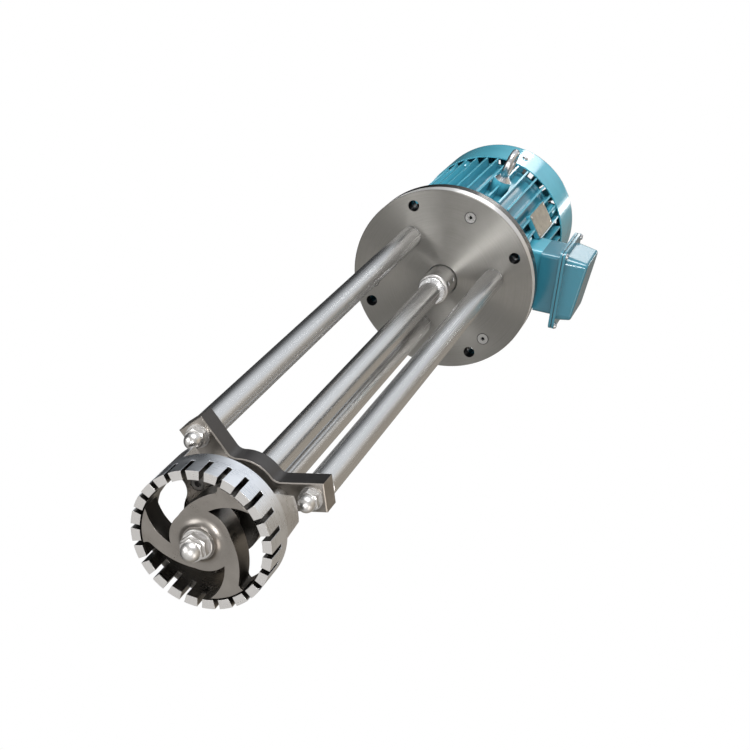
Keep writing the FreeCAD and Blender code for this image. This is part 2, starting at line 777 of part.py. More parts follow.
band = turned("StatorBand", [
    (stator_bore, teeth_low), (stator_r, teeth_low), (stator_r, band_top), (stator_bore, band_top)])
slot = sketch_on(band, "SlotOutline", lift=teeth_low, turn=dim["SlotTurn"] + 6)
box_outline(slot, stator_bore - 3, stator_r + 3, -dim["SlotWidth"] / 2, dim["SlotWidth"] / 2)
around(band, pocket(band, "Slot", slot, dim["ToothLength"]), dim["ToothCount"])
tab_wall = turned("TabWall", [
    (stator_bore, band_top - 1), (stator_r, band_top - 1), (stator_r, stator_top), (stator_bore, stator_top)])
tabs = new_body("TabSpread")
tab = sketch_on(tabs, "TabOutline", "XZ_Plane")
slope_root, slope_top, steep_root, steep_top = (
    stator_r * sine(dim[f"Tab{side}{level}"]) for side in ("Slope", "Steep") for level in ("Root", "Top"))
outline(tab, [(-steep_root, band_top - 2), (slope_root, band_top - 2), (slope_root, band_top),
              (slope_top, stator_top), (-steep_top, stator_top), (-steep_root, band_top)])
around(tabs, pad(tabs, "Tab", tab, stator_r + 5, back=True), 3)
web = new_body("StatorWeb")
web_sketch = sketch_on(web, "WebOutline", lift=web_low)
web_hub = dim["WebHubDia"] / 2
slope_end = dim["WebSlopeEnd"]
steep_end = dim["WebSteepEnd"]
web_spot = (web_hub * cosine(30), web_hub / 2)
star(web_sketch, ROD_TURNS, [
    (web_spot[0], -web_spot[1]), (stator_bore, -slope_end), (stator_bore + 3, -slope_end),
    (stator_bore + 3, steep_end), (stator_bore, steep_end), web_spot],
    {0: -dim["WebSlopeBow"], 4: -dim["WebSteepBow"], 5: web_hub})
pad(web, "WebPlate", web_sketch, dim["WebThick"])
stator_body = fuse("StatorBody", [band, common("StatorTabs", tab_wall, tabs), web])
head_r = stator_screw_r * 1.625
head_seat = web_low + stator_screw_r * 2 + 0.5
stator_cuts = [cylinder("WebBore", shaft_r + dim["WebBoreGap"], dim["WebThick"] + 2, z=web_low - 1)]
for k, turn in enumerate(ROD_TURNS, 1):
    x, y = polar(stator_screws, turn)
    stator_cuts += [
        cylinder(f"WebHole{k}", stator_screw_r + 0.5, dim["WebThick"] + 2, x=x, y=y, z=web_low - 1),
        cylinder(f"WebSeat{k}", head_r + 0.5, head_seat - web_low + 1, x=x, y=y, z=web_low - 1)]
cut("stator_ring", stator_body, stator_cuts)

spacer_r = dim["SpacerDia"] / 2
spacer = turned("Spacer", [
    (stator_screw_r + 0.5, 0), (spacer_r, 0), (spacer_r, dim["StatorDrop"]),
    (stator_screw_r + 0.5, dim["StatorDrop"])])
group("stator_spacers", [
    place(copy_of(spacer, f"Spacer{k}"), *polar(stator_screws, turn), stator_top)
    for k, turn in enumerate(ROD_TURNS, 1)])
stator_screw = cap_screw("StatorScrew", stator_screw_r, bracket_low - head_seat + stator_grip)
group("stator_bolts", [
    place(copy_of(stator_screw, f"StatorScrew{k}"), *polar(stator_screws, turn), head_seat)
    for k, turn in enumerate(ROD_TURNS, 1)])

# Mixing rotor and its fasteners

boss_r = dim["RotorBossDia"] / 2
back_r = dim["RotorHubDia"] / 2
key_half = 2.5
key_top = seat_r + 1.5
key_low = seat_r - 2.5
rotor = turned("mixing_rotor", [
    (seat_r + gap, rotor_front), (boss_r, rotor_front), (dim["RotorRootDia"] / 2, rotor_low),
    (rotor_r - bevel / 2, rotor_low), (rotor_r, rotor_low + bevel / 2), (rotor_r, rotor_high - bevel / 2),
    (rotor_r - bevel / 2, rotor_high), (back_r, rotor_high), (back_r, rotor_back),
    (seat_r + gap, rotor_back)], {1: -dim["RotorRootBow"]})
opening = sketch_on(rotor, "OpeningOutline", lift=rotor_low - 1)
eye_r = dim["RotorEyeRadius"]
past_rim = rotor_r + 4
back_reach = rotor_r - dim["RotorBackInset"]
outline(opening, [
    polar(eye_r + dim["RotorTipStep"], dim["RotorTipAngle"]), polar(past_rim, dim["RotorOpenStart"]),
    polar(past_rim, dim["RotorOpenEnd"]), polar(back_reach, dim["RotorOpenEnd"] + 1.5),
    polar(eye_r + 0.5, 80)],
    {0: dim["RotorBladeBow"], 1: past_rim, 3: -dim["RotorBackBow"], 4: -eye_r})
around(rotor, pocket(rotor, "Opening", opening, dim["RotorThick"] + 2), 3)
smooth(rotor, "OpeningCorner", dim["RotorCornerRound"],
       lambda edge: upright(edge) and abs(reach(edge) - float(back_reach)) < 0.5)
keyway = sketch_on(rotor, "RotorKeyway", lift=rotor_front - 1)
box_outline(keyway, -key_half, key_half, 0, key_top + 0.1)
pocket(rotor, "RotorKeywayCut", keyway, rotor_back - rotor_front + 2)

end_washer_r = dim["RotorWasherDia"] / 2
nut_face = rotor_front - dim["RotorWasherThick"]
turned("rotor_washer", [
    (thread_r + 0.3, nut_face), (end_washer_r - 0.5, nut_face), (end_washer_r, nut_face + 0.5),
    (end_washer_r, rotor_front), (thread_r + 0.3, rotor_front)])
lock = cut("rotor_lock_nut", nut_blank("LockNutBlank", dim["LockNutWidth"], dim["LockNutHeight"]),
           [cylinder("LockNutThread", thread_r + gap, dim["LockNutHeight"])])
downward(lock, 0, 0, nut_face)
dome_low = nut_face - dim["LockNutHeight"]
thread_end = 8
dome = dome_nut("rotor_dome_nut", dim["DomeNutWidth"], dim["DomeNutHeight"],
                dim["DomeNutWidth"] / 2 - dim["DomeStep"], dim["DomeNutHeight"] - 0.5, thread_r + gap,
                thread_end + 0.5)
downward(dome, 0, 0, dome_low)

# Drive shaft, its keys and the coupling sleeve

thread_low = dome_low - thread_end
seat_low = rotor_front + 1
collar_low = sleeve_low - dim["CollarHeight"]
collar_r = dim["CollarDia"] / 2
tip_r = dim["ShaftSpigotDia"] / 2
motor_end = face - dim["MotorEndLength"]
sleeve_step = motor_end - 1
tip_top = sleeve_step - dim["ShaftEndGap"]
shaft = turned("drive_shaft", [
    (0, thread_low), (thread_r - 1, thread_low), (thread_r, thread_low + 1), (thread_r, seat_low),
    (seat_r - 0.5, seat_low), (seat_r, seat_low + 0.5), (seat_r, rotor_back), (shaft_r, rotor_back),
    (shaft_r, collar_low), (collar_r - bevel, collar_low), (collar_r, collar_low + bevel),
    (collar_r, sleeve_low), (tip_r, sleeve_low), (tip_r, tip_top), (0, tip_top)])
rotor_key_low = rotor_low + 4
rotor_key_run = rotor_high - rotor_key_low
seat_key = sketch_on(shaft, "SeatKeyOutline", lift=rotor_key_low - 0.1)
box_outline(seat_key, -key_half, key_half, key_low - 0.1, key_top + 2)
pocket(shaft, "SeatKeyway", seat_key, rotor_key_run + 0.2)


def key(name, half, low, high, start, run):
    """A square-ended key on the +Y side of the axis."""
    return block(name, as_size(half - 0.05) * 2, high - low, run, x=0.05 - half, y=low, z=start)


key("rotor_key", key_half, key_low, key_top, rotor_key_low, rotor_key_run)

sleeve_top = spigot_low - dim["SleeveTopGap"]
wide_key = 4
end_key_top = motor_end_r + 3
end_key_low = motor_end_r - 4
sleeve = turned("SleeveBlank", [
    (tip_r + gap, sleeve_low), (sleeve_r - bevel, sleeve_low), (sleeve_r, sleeve_low + bevel),
    (sleeve_r, sleeve_top - bevel), (sleeve_r - bevel, sleeve_top), (motor_end_r + gap, sleeve_top),
    (motor_end_r + gap, sleeve_step), (tip_r + gap, sleeve_step)])
sleeve_key = sketch_on(sleeve, "SleeveKeyOutline", lift=sleeve_step)
box_outline(sleeve_key, -wide_key, wide_key, 0, end_key_top + 0.1)
pocket(sleeve, "SleeveKeyway", sleeve_key, sleeve_top - sleeve_step + 1)
set_r = dim["SetScrewDia"] / 2
motor_screw_z = motor_end + 11
shaft_screw_z = sleeve_low + 9
SET_SCREWS = ((317, motor_screw_z, motor_end_r), (137, shaft_screw_z, tip_r), (317, shaft_screw_z, tip_r))
cut("coupling_sleeve", sleeve, [
    outward(cylinder(f"SetHole{k}", set_r + gap, sleeve_r), turn, 0, z)
    for k, (turn, z, _) in enumerate(SET_SCREWS, 1)])
set_screws = []
for k, (turn, z, seat) in enumerate(SET_SCREWS, 1):
    length = sleeve_r - seat - 0.8
    blank = cylinder(f"SetScrewRound{k}", set_r, length)
    socket = hexagon(f"SetScrewSocket{k}", set_r, 3, z=length - 3)
    set_screws.append(outward(cut(f"SetScrew{k}", blank, [socket]), turn, seat + 0.1, z))
group("coupling_set_screws", set_screws)
end_key_low_z = motor_end + 3
end_key_run = sleeve_top - 3 - end_key_low_z
key("coupling_key", wide_key, end_key_low, end_key_top, end_key_low_z, end_key_run)

# Motor shaft and rotor core

bearing_w = dim["BearingWidth"]
drive_bearing_top = drive_bearing + bearing_w
fan_bearing_top = fan_bearing + bearing_w
shoulder_r = bearing_bore + 3
core_shaft_r = bearing_bore + dim["CoreShaftStep"]
fan_shaft_r = bearing_bore - dim["FanShaftStep"]
cowl_low = frame_high + dim["CowlGap"]
cowl_high = cowl_low + dim["CowlLength"]
fan_low = frame_high + dim["FanLift"]
fan_hub = dim["FanHub"]
clip_low = fan_low + fan_hub + 0.3
clip_thick = 1.2
motor_shaft_top = clip_low + 6
motor_shaft = turned("motor_shaft", [
    (0, motor_end), (motor_end_r, motor_end),
    (motor_end_r, drive_bearing - 2), (bearing_bore, drive_bearing - 2), (bearing_bore, drive_bearing_top),
    (shoulder_r, drive_bearing_top), (shoulder_r, core_low), (core_shaft_r, core_low),
    (core_shaft_r, core_high), (shoulder_r, core_high), (shoulder_r, fan_bearing),
    (bearing_bore, fan_bearing), (bearing_bore, fan_bearing_top), (fan_shaft_r, fan_bearing_top),
    (fan_shaft_r, clip_low - 0.1), (fan_shaft_r - 0.8, clip_low - 0.1),
    (fan_shaft_r - 0.8, clip_low + clip_thick + 0.1), (fan_shaft_r, clip_low + clip_thick + 0.1),
    (fan_shaft_r, motor_shaft_top), (0, motor_shaft_top)])
end_keyway = sketch_on(motor_shaft, "EndKeyOutline", lift=end_key_low_z - 0.1)
box_outline(end_keyway, -wide_key, wide_key, end_key_low - 0.1, end_key_top + 1)
pocket(motor_shaft, "EndKeyway", end_keyway, end_key_run + 0.2)
fan_key_half = 3
fan_key_low = fan_shaft_r - 3
fan_key_top = fan_shaft_r + 3
fan_key_start = fan_low + 4
fan_key_run = fan_hub - 8
fan_keyway = sketch_on(motor_shaft, "FanKeyOutline", lift=fan_key_start - 0.1)
box_outline(fan_keyway, -fan_key_half, fan_key_half, fan_key_low - 0.1, fan_key_top + 1)
pocket(motor_shaft, "FanKeyway", fan_keyway, fan_key_run + 0.2)
key("fan_key", fan_key_half, fan_key_low, fan_key_top, fan_key_start, fan_key_run)

air_r = dim["AirGapDia"] / 2
core_r = air_r - 0.5
cage_r = core_r - dim["CageWidth"]
cage_low = core_low - dim["CageHeight"]
cage_high = core_high + dim["CageHeight"]
turned("motor_rotor_core", [
    (core_shaft_r + gap, core_low), (cage_r, core_low), (cage_r, cage_low), (core_r, cage_low),
    (core_r, cage_high), (cage_r, cage_high), (cage_r, core_high), (core_shaft_r + gap, core_high)])
turned("motor_stator_core", [
    (air_r, core_low), (frame_bore - gap, core_low), (frame_bore - gap, core_high), (air_r, core_high)])
winding_in = air_r + dim["WindingInset"]
winding_out = frame_bore - dim["WindingInset"]
winding_t = dim["WindingHeight"]
coil = turned("Coil", [
    (winding_in, 0), (winding_out, 0), (winding_out - 5, winding_t), (winding_in + 5, winding_t)])
group("motor_windings", [
    downward(copy_of(coil, "LowerCoil"), 0, 0, core_low), place(copy_of(coil, "UpperCoil"), z=core_high)])

# Bearings, wave washer and seal


def tube(name, inner, outer, low, high):
    """A plain ring."""
    return turned(name, [(inner, low), (outer, low), (outer, high), (inner, high)])


for name, low in (("drive_bearing", drive_bearing), ("fan_bearing", fan_bearing)):
    tube(f"{name}_inner", bearing_bore + gap, bearing_split, low, low + bearing_w)
    tube(f"{name}_outer", bearing_split + gap, bearing_r, low, low + bearing_w)
wave_low = fan_bearing_top + 0.1
tube("wave_washer", bearing_split + 4, bearing_r - 0.2, wave_low, wave_low + 1.5)
seal_r = motor_end_r + 7
seal_low = spigot_low + 0.5
seal_high = face + 5
tube("shaft_seal", motor_end_r + gap * 2, seal_r - gap, seal_low, seal_high - 1)

# Drive-end shield with the motor flange

seat_r_motor = bearing_r + gap
lug_low = frame_low - dim["ShieldLugRun"]
skirt = 6
housing = bearing_r + 7
shield = turned("motor_flange_shield", [
    (seal_r, spigot_low), (spigot_r, spigot_low), (spigot_r, face), (plate_r, face),
    (plate_r, flange_top - bevel), (plate_r - bevel, flange_top), (frame_r + 10, flange_top),
    (frame_r, flange_top + 10), (frame_r, frame_low), (frame_bore - gap, frame_low),
    (frame_bore - gap, frame_low + skirt), (frame_bore - skirt, frame_low + skirt),
    (frame_bore - skirt, flange_top + 2), (housing, flange_top + 2), (housing, drive_bearing_top + 2),
    (seat_r_motor, drive_bearing_top + 2), (seat_r_motor, drive_bearing), (seal_r + 3, drive_bearing),
    (seal_r + 3, seal_high), (seal_r, seal_high)])
lug_sketch = sketch_on(shield, "ShieldLugs", lift=lug_low)
ring(lug_sketch, lug_r + 1, *polar(lug_circle, LUG_TURNS[0]))
around(shield, pad(shield, "ShieldLug", lug_sketch, frame_low - lug_low), 4)
holes(shield, "LugHole", [polar(lug_circle, LUG_TURNS[0])], bolt_r + 0.3, lug_low, frame_low - lug_low, 4)
holes(shield, "FlangeHole", [polar(mount_r, LUG_TURNS[0])], dim["MountHoleDia"] / 2, face,
      dim["FlangeThick"], dim["MountHoles"])
holes(shield, "FlangeThread", [screw_spot], screw_r + gap, face, dim["PlateScrewGrip"] + 2, 3)
bolt_grip = bolt_r * 5
shield_bolt = cap_screw("ShieldBolt", bolt_r, frame_low - lug_low + bolt_grip)
group("drive_shield_bolts", [
    place(copy_of(shield_bolt, f"DriveShieldBolt{k}"), *polar(lug_circle, turn), lug_low)
    for k, turn in enumerate(LUG_TURNS, 1)])

# Finned motor frame

boss_run = dim["LugRun"]
box_turn = dim["BoxTurn"]
box_z = face + dim["BoxCentre"]
foot = fin_r + dim["BoxFootHeight"]
eye_top = fin_r + dim["EyeBossHeight"]
neck_y = dim["BoxNeckWidth"] / 2
neck_x = dim["BoxNeckLength"] / 2
neck_shift = -2
wire_side = 18
eye_z = face + dim["EyePlace"]
badge_low = face + dim["NamePlateStart"]
badge_x = dim["NamePlateLength"] / 2
badge_y = dim["NamePlateWidth"] / 2
badge_z = badge_low + badge_x
badge_face = fin_r + 0.5
finned = turned("FrameTube", [
    (frame_bore, frame_low), (frame_r, frame_low), (frame_r, frame_high), (frame_bore, frame_high)])
fin = sketch_on(finned, "FinOutline", lift=frame_low, turn=90)
fin_foot = frame_r - 3
outline(fin, [(fin_foot, -dim["FinRoot"] / 2), (fin_r, -dim["FinTip"] / 2), (fin_r, dim["FinTip"] / 2),
              (fin_foot, dim["FinRoot"] / 2)])
around(finned, pad(finned, "Fin", fin, dim["FrameLength"]), dim["FinCount"])
for name, low in (("LowerBoss", frame_low), ("UpperBoss", frame_high - boss_run)):
    boss_sketch = sketch_on(finned, name + "Outline", lift=low)
    ring(boss_sketch, lug_r, *polar(lug_circle, LUG_TURNS[0]))
    around(finned, pad(finned, name, boss_sketch, boss_run), 4)
    holes(finned, name + "Thread", [polar(lug_circle, LUG_TURNS[0])], bolt_r + gap, low, boss_run, 4)


def panel(name, x, y, thick, corner, shift=0, start=0, draft=None):
    """A round-cornered slab in its own frame."""
    body = new_body(name)
    sketch = sketch_on(body, name + "Outline", lift=start)
    panel_outline(sketch, x, y, corner, shift)
    pad(body, name + "Slab", sketch, thick, draft)
    return body


pad_foot = frame_bore - 4
pad_up = neck_x - neck_shift
pad_down = box_z - frame_low
box_pad = panel("BoxPad", (pad_up + pad_down) / 2, neck_y, foot - pad_foot, 6, (pad_down - pad_up) / 2)
outward(box_pad, box_turn, pad_foot, box_z)
badge_pad = outward(panel("BadgePad", badge_x + 1, badge_y + 1, badge_face - fin_r + 6, 3),
                    dim["PlateTurn"], fin_r - 6, badge_z)
eye_boss = outward(cylinder("EyeBoss", dim["EyeBossDia"] / 2, eye_top - pad_foot), 270, pad_foot, eye_z)
wire_r = 10
eye_shank_r = 5
cut("motor_frame", fuse("FrameBody", [finned, box_pad, badge_pad, eye_boss]), [
    cylinder("FrameBore", frame_bore, dim["FrameLength"], z=frame_low),
    outward(cylinder("WireHole", wire_r, foot), box_turn, pad_foot - 10, box_z - neck_shift, wire_side),
    outward(cylinder("EyeThread", eye_shank_r + gap, 40), 270, frame_r + 2, eye_z)])

ring_r = dim["EyeRingDia"] / 2
wire = dim["EyeWireDia"] / 2
ring_centre = eye_top + ring_r + wire + 2.5
eye_ring = doc.addObject("Part::Torus", "EyeRing")
bind(eye_ring, "Radius1", ring_r)
bind(eye_ring, "Radius2", wire)
place(eye_ring, x=0, y=-ring_centre, z=eye_z, axis=(0, 1, 0), turn=90)
collar_t = 6
shank_run = 15
eye_collar = cone("EyeCollar", dim["EyeBossDia"] / 2 - 1.5, wire + 2, collar_t)
fuse("eye_bolt", [
    eye_ring, outward(eye_collar, 270, eye_top, eye_z),
    outward(cylinder("EyeShank", eye_shank_r, shank_run), 270, eye_top - shank_run, eye_z)])

badge_thick = 1
badge = panel("nameplate", badge_x, badge_y, badge_thick, 2)
rivet_x = badge_x - 4
rivet_y = badge_y - 4
rivet_r = 1.5
for k, (x, y) in enumerate(((rivet_x, rivet_y), (-rivet_x, rivet_y), (-rivet_x, -rivet_y),
                            (rivet_x, -rivet_y)), 1):
    rivet_hole = sketch_on(badge, f"RivetHole{k}Outline")
    ring(rivet_hole, rivet_r + 0.1, x, y)
    pocket(badge, f"RivetHole{k}", rivet_hole, badge_thick)
outward(badge, dim["PlateTurn"], badge_face, badge_z)
rivet = turned("Rivet", [(0, 0), (rivet_r, 0), (rivet_r, badge_thick), (rivet_r + 1.1, badge_thick),
                         (0, badge_thick + 1.2)])
group("nameplate_rivets", [
    outward(copy_of(rivet, f"Rivet{k}"), dim["PlateTurn"], badge_face, badge_z + x, y)
    for k, (x, y) in enumerate(((rivet_x, rivet_y), (-rivet_x, rivet_y), (-rivet_x, -rivet_y),
                                (rivet_x, -rivet_y)), 1)])

# Rear end shield and fan cowl

cowl_r = fin_r + dim["CowlStep"]
cowl_in = cowl_r - dim["CowlWall"]
rear_face = fan_bearing_top + 2
screw_z = cowl_low + dim["CowlScrewPlace"]
lug_top = screw_z + lug_r
rear_t = 10
rear_top = frame_high + rear_t
rear_housing = bearing_r + 6
rear = turned("RearShieldBlank", [
    (seat_r_motor, fan_bearing - 1), (rear_housing, fan_bearing - 1), (rear_housing, frame_high - 4),
    (frame_bore - skirt, frame_high - 4), (frame_bore - skirt, frame_high - skirt),
    (frame_bore - gap, frame_high - skirt), (frame_bore - gap, frame_high), (frame_r + 4, frame_high),
    (frame_r + 4, rear_top), (rear_housing, rear_top), (rear_housing, fan_low - 2),
    (fan_shaft_r + 1.5, fan_low - 2), (fan_shaft_r + 1.5, rear_face), (seat_r_motor, rear_face)])
rear_lug = sketch_on(rear, "RearLugOutline", lift=frame_high)
ring(rear_lug, lug_r, *polar(lug_circle, LUG_TURNS[0]))
around(rear, pad(rear, "RearLug", rear_lug, rear_t), 4)
cowl_lug = sketch_on(rear, "CowlLugOutline", lift=frame_high + 6, turn=COWL_TURNS[0])
box_outline(cowl_lug, frame_r - 4, cowl_in - 0.6, -lug_r, lug_r)
around(rear, pad(rear, "CowlLug", cowl_lug, lug_top - frame_high - 6), 4)
holes(rear, "RearHole", [polar(lug_circle, LUG_TURNS[0])], bolt_r + 0.3, frame_high, rear_t, 4)
cowl_screw_r = 2.5
cut("rear_end_shield", rear, [
    outward(cylinder(f"CowlThread{k}", cowl_screw_r + gap, cowl_r - frame_r), turn, frame_r - 2, screw_z)
    for k, turn in enumerate(COWL_TURNS, 1)])
rear_bolt = cap_screw("RearBolt", bolt_r, rear_t + bolt_grip)
group("rear_shield_bolts", [
    downward(copy_of(rear_bolt, f"RearBolt{k}"), *polar(lug_circle, turn), rear_top)
    for k, turn in enumerate(LUG_TURNS, 1)])

wall = dim["CowlWall"]
bend = dim["CowlRound"]
cowl = turned("CowlShell", [
    (cowl_in, cowl_low), (cowl_r, cowl_low), (cowl_r, cowl_high - bend), (cowl_r - bend, cowl_high),
    (0, cowl_high), (0, cowl_high - wall), (cowl_r - bend, cowl_high - wall), (cowl_in, cowl_high - bend)],
    {2: bend})
slots = sketch_on(cowl, "GrilleOutline", lift=cowl_high - wall - 1)
grille_in = dim["GrilleInner"]
grille_out = cowl_r - dim["GrilleInset"]
outline(slots, [(grille_in, -2), (grille_out, -4), (grille_out, 4), (grille_in, 2)])
around(cowl, pocket(cowl, "GrilleSlot", slots, wall + 2), dim["GrilleCount"])
cut("fan_cowl", cowl, [
    outward(cylinder(f"CowlHole{k}", cowl_screw_r + 0.3, 20), turn, cowl_in - 10, screw_z)
    for k, turn in enumerate(COWL_TURNS, 1)])
cowl_screw = pan_screw("CowlScrew", cowl_screw_r, 12)
group("cowl_screws", [
    outward(copy_of(cowl_screw, f"CowlScrew{k}"), turn, cowl_r + 0.1, screw_z)
    for k, turn in enumerate(COWL_TURNS, 1)])

fan_r = frame_r - dim["FanInset"]
fan_disc = fan_low + 5
fan_web = 3
hub_wall = 7
fan_hub_r = fan_shaft_r + hub_wall
fan = turned("cooling_fan", [
    (fan_shaft_r + gap, fan_low), (fan_hub_r, fan_low), (fan_hub_r, fan_disc - fan_web),
    (fan_r - 4, fan_disc - fan_web), (fan_r - 4, fan_disc), (fan_hub_r, fan_disc),
    (fan_hub_r, fan_low + fan_hub), (fan_shaft_r + gap, fan_low + fan_hub)])
blade = sketch_on(fan, "FanBladeOutline", lift=fan_disc - 2)
box_outline(blade, fan_hub_r + 1, fan_r, -fan_web / 2, fan_web / 2)
around(fan, pad(fan, "FanBlade", blade, dim["FanHeight"] - 3), dim["FanBlades"])
fan_keyway_hub = sketch_on(fan, "FanHubKeyway", lift=fan_low)
box_outline(fan_keyway_hub, -fan_key_half, fan_key_half, 0, fan_key_top + 0.1)
pocket(fan, "FanHubKeywayCut", fan_keyway_hub, fan_hub)
clip = turned("ClipRing", [
    (fan_shaft_r - 0.7, clip_low), (fan_shaft_r + 2.5, clip_low), (fan_shaft_r + 2.5, clip_low + clip_thick),
    (fan_shaft_r - 0.7, clip_low + clip_thick)])
cut("fan_circlip", clip, [block("ClipGap", fan_shaft_r + 5, 6, 4, x=0, y=-3, z=clip_low - 1)])

# Terminal box

rim_x = dim["BoxRimLength"] / 2
rim_y = dim["BoxRimWidth"] / 2
rim_t = dim["BoxRimThick"]
box_wall = dim["BoxWall"]
box_height = dim["BoxDepth"]
box_face = foot + box_height
gasket_t = dim["GasketThick"]
rim_corner = dim["BoxRimCorner"]
lid_screw_x = rim_x - dim["LidScrewInset"]
lid_screw_y = rim_y - dim["LidScrewInset"]
lid_screw_r = dim["LidScrewDia"] / 2
LID_CORNERS = ((1, 1), (-1, 1), (-1, -1), (1, -1))
gland_r = dim["GlandDia"] / 2
gland_z = (box_wall + box_height - rim_t) / 2
gland_face = neck_shift - neck_x


def corner_holes(body, name, radius, start, depth):
    sketch = sketch_on(body, name + "Outline", lift=start)
    for a, b in LID_CORNERS:
        ring(sketch, radius, lid_screw_x * a, lid_screw_y * b)
    pocket(body, name, sketch, depth)


base = panel("BoxBase", neck_x, neck_y, box_height, 6, neck_shift)
rim = sketch_on(base, "RimOutline", lift=box_height - rim_t)
panel_outline(rim, rim_x, rim_y, rim_corner)
pad(base, "Rim", rim, rim_t)
hollow = sketch_on(base, "BoxHollowOutline", lift=box_wall)
panel_outline(hollow, neck_x - box_wall, neck_y - box_wall, 3, neck_shift)
pocket(base, "BoxHollow", hollow, box_height)
corner_holes(base, "LidThread", lid_screw_r + gap, box_height - rim_t, rim_t)
box_cut = cut("terminal_box_base", base, [
    cylinder("BaseWireHole", wire_r, box_wall + 2, x=neck_shift, y=wire_side, z=-1),
    place(cylinder("GlandHole", gland_r + gap, box_wall + 4), x=gland_face - 2, z=gland_z, axis=(0, 1, 0),
          turn=90)])
outward(box_cut, box_turn, foot, box_z)

gasket = panel("terminal_box_gasket", rim_x - 1, rim_y - 1, gasket_t, rim_corner)
gasket_hole = sketch_on(gasket, "GasketHoleOutline")
panel_outline(gasket_hole, rim_x - 13, rim_y - 13, 4)
pocket(gasket, "GasketHole", gasket_hole, gasket_t)
corner_holes(gasket, "GasketScrewHole", lid_screw_r + 0.3, 0, gasket_t)
outward(gasket, box_turn, box_face, box_z)

lid_x = rim_x - dim["LidInset"]
lid_y = rim_y - dim["LidInset"]
lid_deep = dim["LidDepth"]
lid_mid = lid_deep - dim["LidDrop"] / 2
lid_tilt = dim["LidDrop"] / (lid_y * 2)


def lid_form(name, wall, low):
    """The lid's box with its slanted face, from height low, set in by a wall all over."""
    body = new_body(name)
    sides = sketch_on(body, name + "Outline", lift=low)
    panel_outline(sides, lid_x - wall, lid_y - wall, dim["LidCorner"] - wall)
    pad(body, name + "Sides", sides, lid_deep - low, -dim["LidDraft"])
    slope = sketch_on(body, name + "Slope", "YZ_Plane", lift=-rim_x)
    middle = lid_mid - wall
    past = lid_deep + 9
    outline(slope, [(-rim_y, middle + rim_y * lid_tilt), (rim_y, middle - rim_y * lid_tilt), (rim_y, past),
                    (-rim_y, past)])
    pocket(body, name + "SlopeCut", slope, rim_x * 2)
    return body


def on_slope(edge):
    """Whether both ends of an edge lie on the lid's slanted face."""
    return all(abs(end.Z - float(lid_mid) + end.Y * float(lid_tilt)) < 0.01 for end in edge.Vertexes)


lid_box = lid_form("LidBox", as_size(0), as_size(0))
smooth(lid_box, "LidEdges", dim["LidRound"], on_slope)
lid_rim = panel("LidRim", rim_x, rim_y, rim_t, rim_corner)
corner_holes(lid_rim, "LidScrewHole", lid_screw_r + 0.3, 0, rim_t)
lid = cut("terminal_box_lid", fuse("LidSolid", [lid_rim, lid_box]),
          [lid_form("LidHollow", box_wall, as_size(-1))])
outward(lid, box_turn, box_face + gasket_t, box_z)

lid_face = box_face + gasket_t + rim_t
lid_screw = pan_screw("LidScrew", lid_screw_r, rim_t * 2 + gasket_t)
group("terminal_lid_screws", [
    outward(copy_of(lid_screw, f"LidScrew{k}"), box_turn, lid_face + 0.1, box_z + lid_screw_x * a,
            lid_screw_y * b)
    for k, (a, b) in enumerate(LID_CORNERS, 1)])

terminal = new_body("TerminalBlock")
terminal_sketch = sketch_on(terminal, "TerminalOutline")
panel_outline(terminal_sketch, 18, 22, 2)
pad(terminal, "TerminalSlab", terminal_sketch, 10)
block_y = -16
place(terminal, x=0, y=block_y, z=0)
terminal_studs = [
    cylinder(f"TerminalStud{k}", 2.5, 12, x=a * 9, y=b * 13 + block_y, z=9)
    for k, (a, b) in enumerate(((-1, -1), (-1, 0), (-1, 1), (1, -1), (1, 0), (1, 1)), 1)]
terminal_all = fuse("terminal_block", [terminal, *terminal_studs])
outward(terminal_all, box_turn, foot + box_wall, box_z - neck_shift)

gland_run = dim["GlandLength"]
gland_in = 6
gland = cut("cable_gland", fuse("GlandSolid", [
    cylinder("GlandThread", gland_r, gland_in), hexagon("GlandHexagon", dim["GlandWidth"], 5, z=gland_in),
    cylinder("GlandCap", dim["GlandWidth"] / 2 - 0.5, gland_run, z=gland_in)]),
    [cylinder("GlandBore", dim["CableDia"] / 2, gland_in + gland_run + 2, z=-1)])
gland_x, gland_y = polar(foot + gland_z, box_turn)
place(gland, x=gland_x, y=gland_y, z=box_z - gland_face - gland_in + 0.1)

# Check every object and write one file for each node

NODES = (
    "mounting_plate", "plate_screws", "support_rod_1", "support_rod_2", "support_rod_3", "lower_bracket",
    "shaft_bushing", "rod_washers", "rod_acorn_nuts", "stator_ring", "stator_spacers", "stator_bolts",
    "motor_flange_shield", "drive_shield_bolts", "motor_frame", "motor_stator_core", "motor_windings",
    "rear_end_shield", "rear_shield_bolts", "fan_cowl", "cowl_screws", "drive_bearing_outer",
    "fan_bearing_outer", "wave_washer", "shaft_seal", "eye_bolt", "nameplate", "nameplate_rivets",
    "terminal_box_base", "terminal_box_gasket", "terminal_box_lid", "terminal_lid_screws",
    "terminal_block", "cable_gland", "motor_shaft", "motor_rotor_core", "drive_bearing_inner",
    "fan_bearing_inner", "cooling_fan", "fan_key", "fan_circlip", "coupling_sleeve",
    "coupling_set_screws", "coupling_key", "drive_shaft", "rotor_key", "mixing_rotor", "rotor_washer",
    "rotor_lock_nut", "rotor_dome_nut")

doc.recompute()
for item in doc.Objects:
    if "Invalid" in item.State or "Error" in item.State:
        raise RuntimeError(f"{item.Name} did not compute: {item.State}")
for name in NODES:
    shape = doc.getObject(name).Shape
    if shape.isNull() or not shape.isValid() or shape.Volume <= 0:
        raise RuntimeError(f"{name} has no valid solid")
    shape.exportStep(f"parts/{name}.step")
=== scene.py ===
import math

import bmesh
import bpy
from mathutils import Matrix, Vector


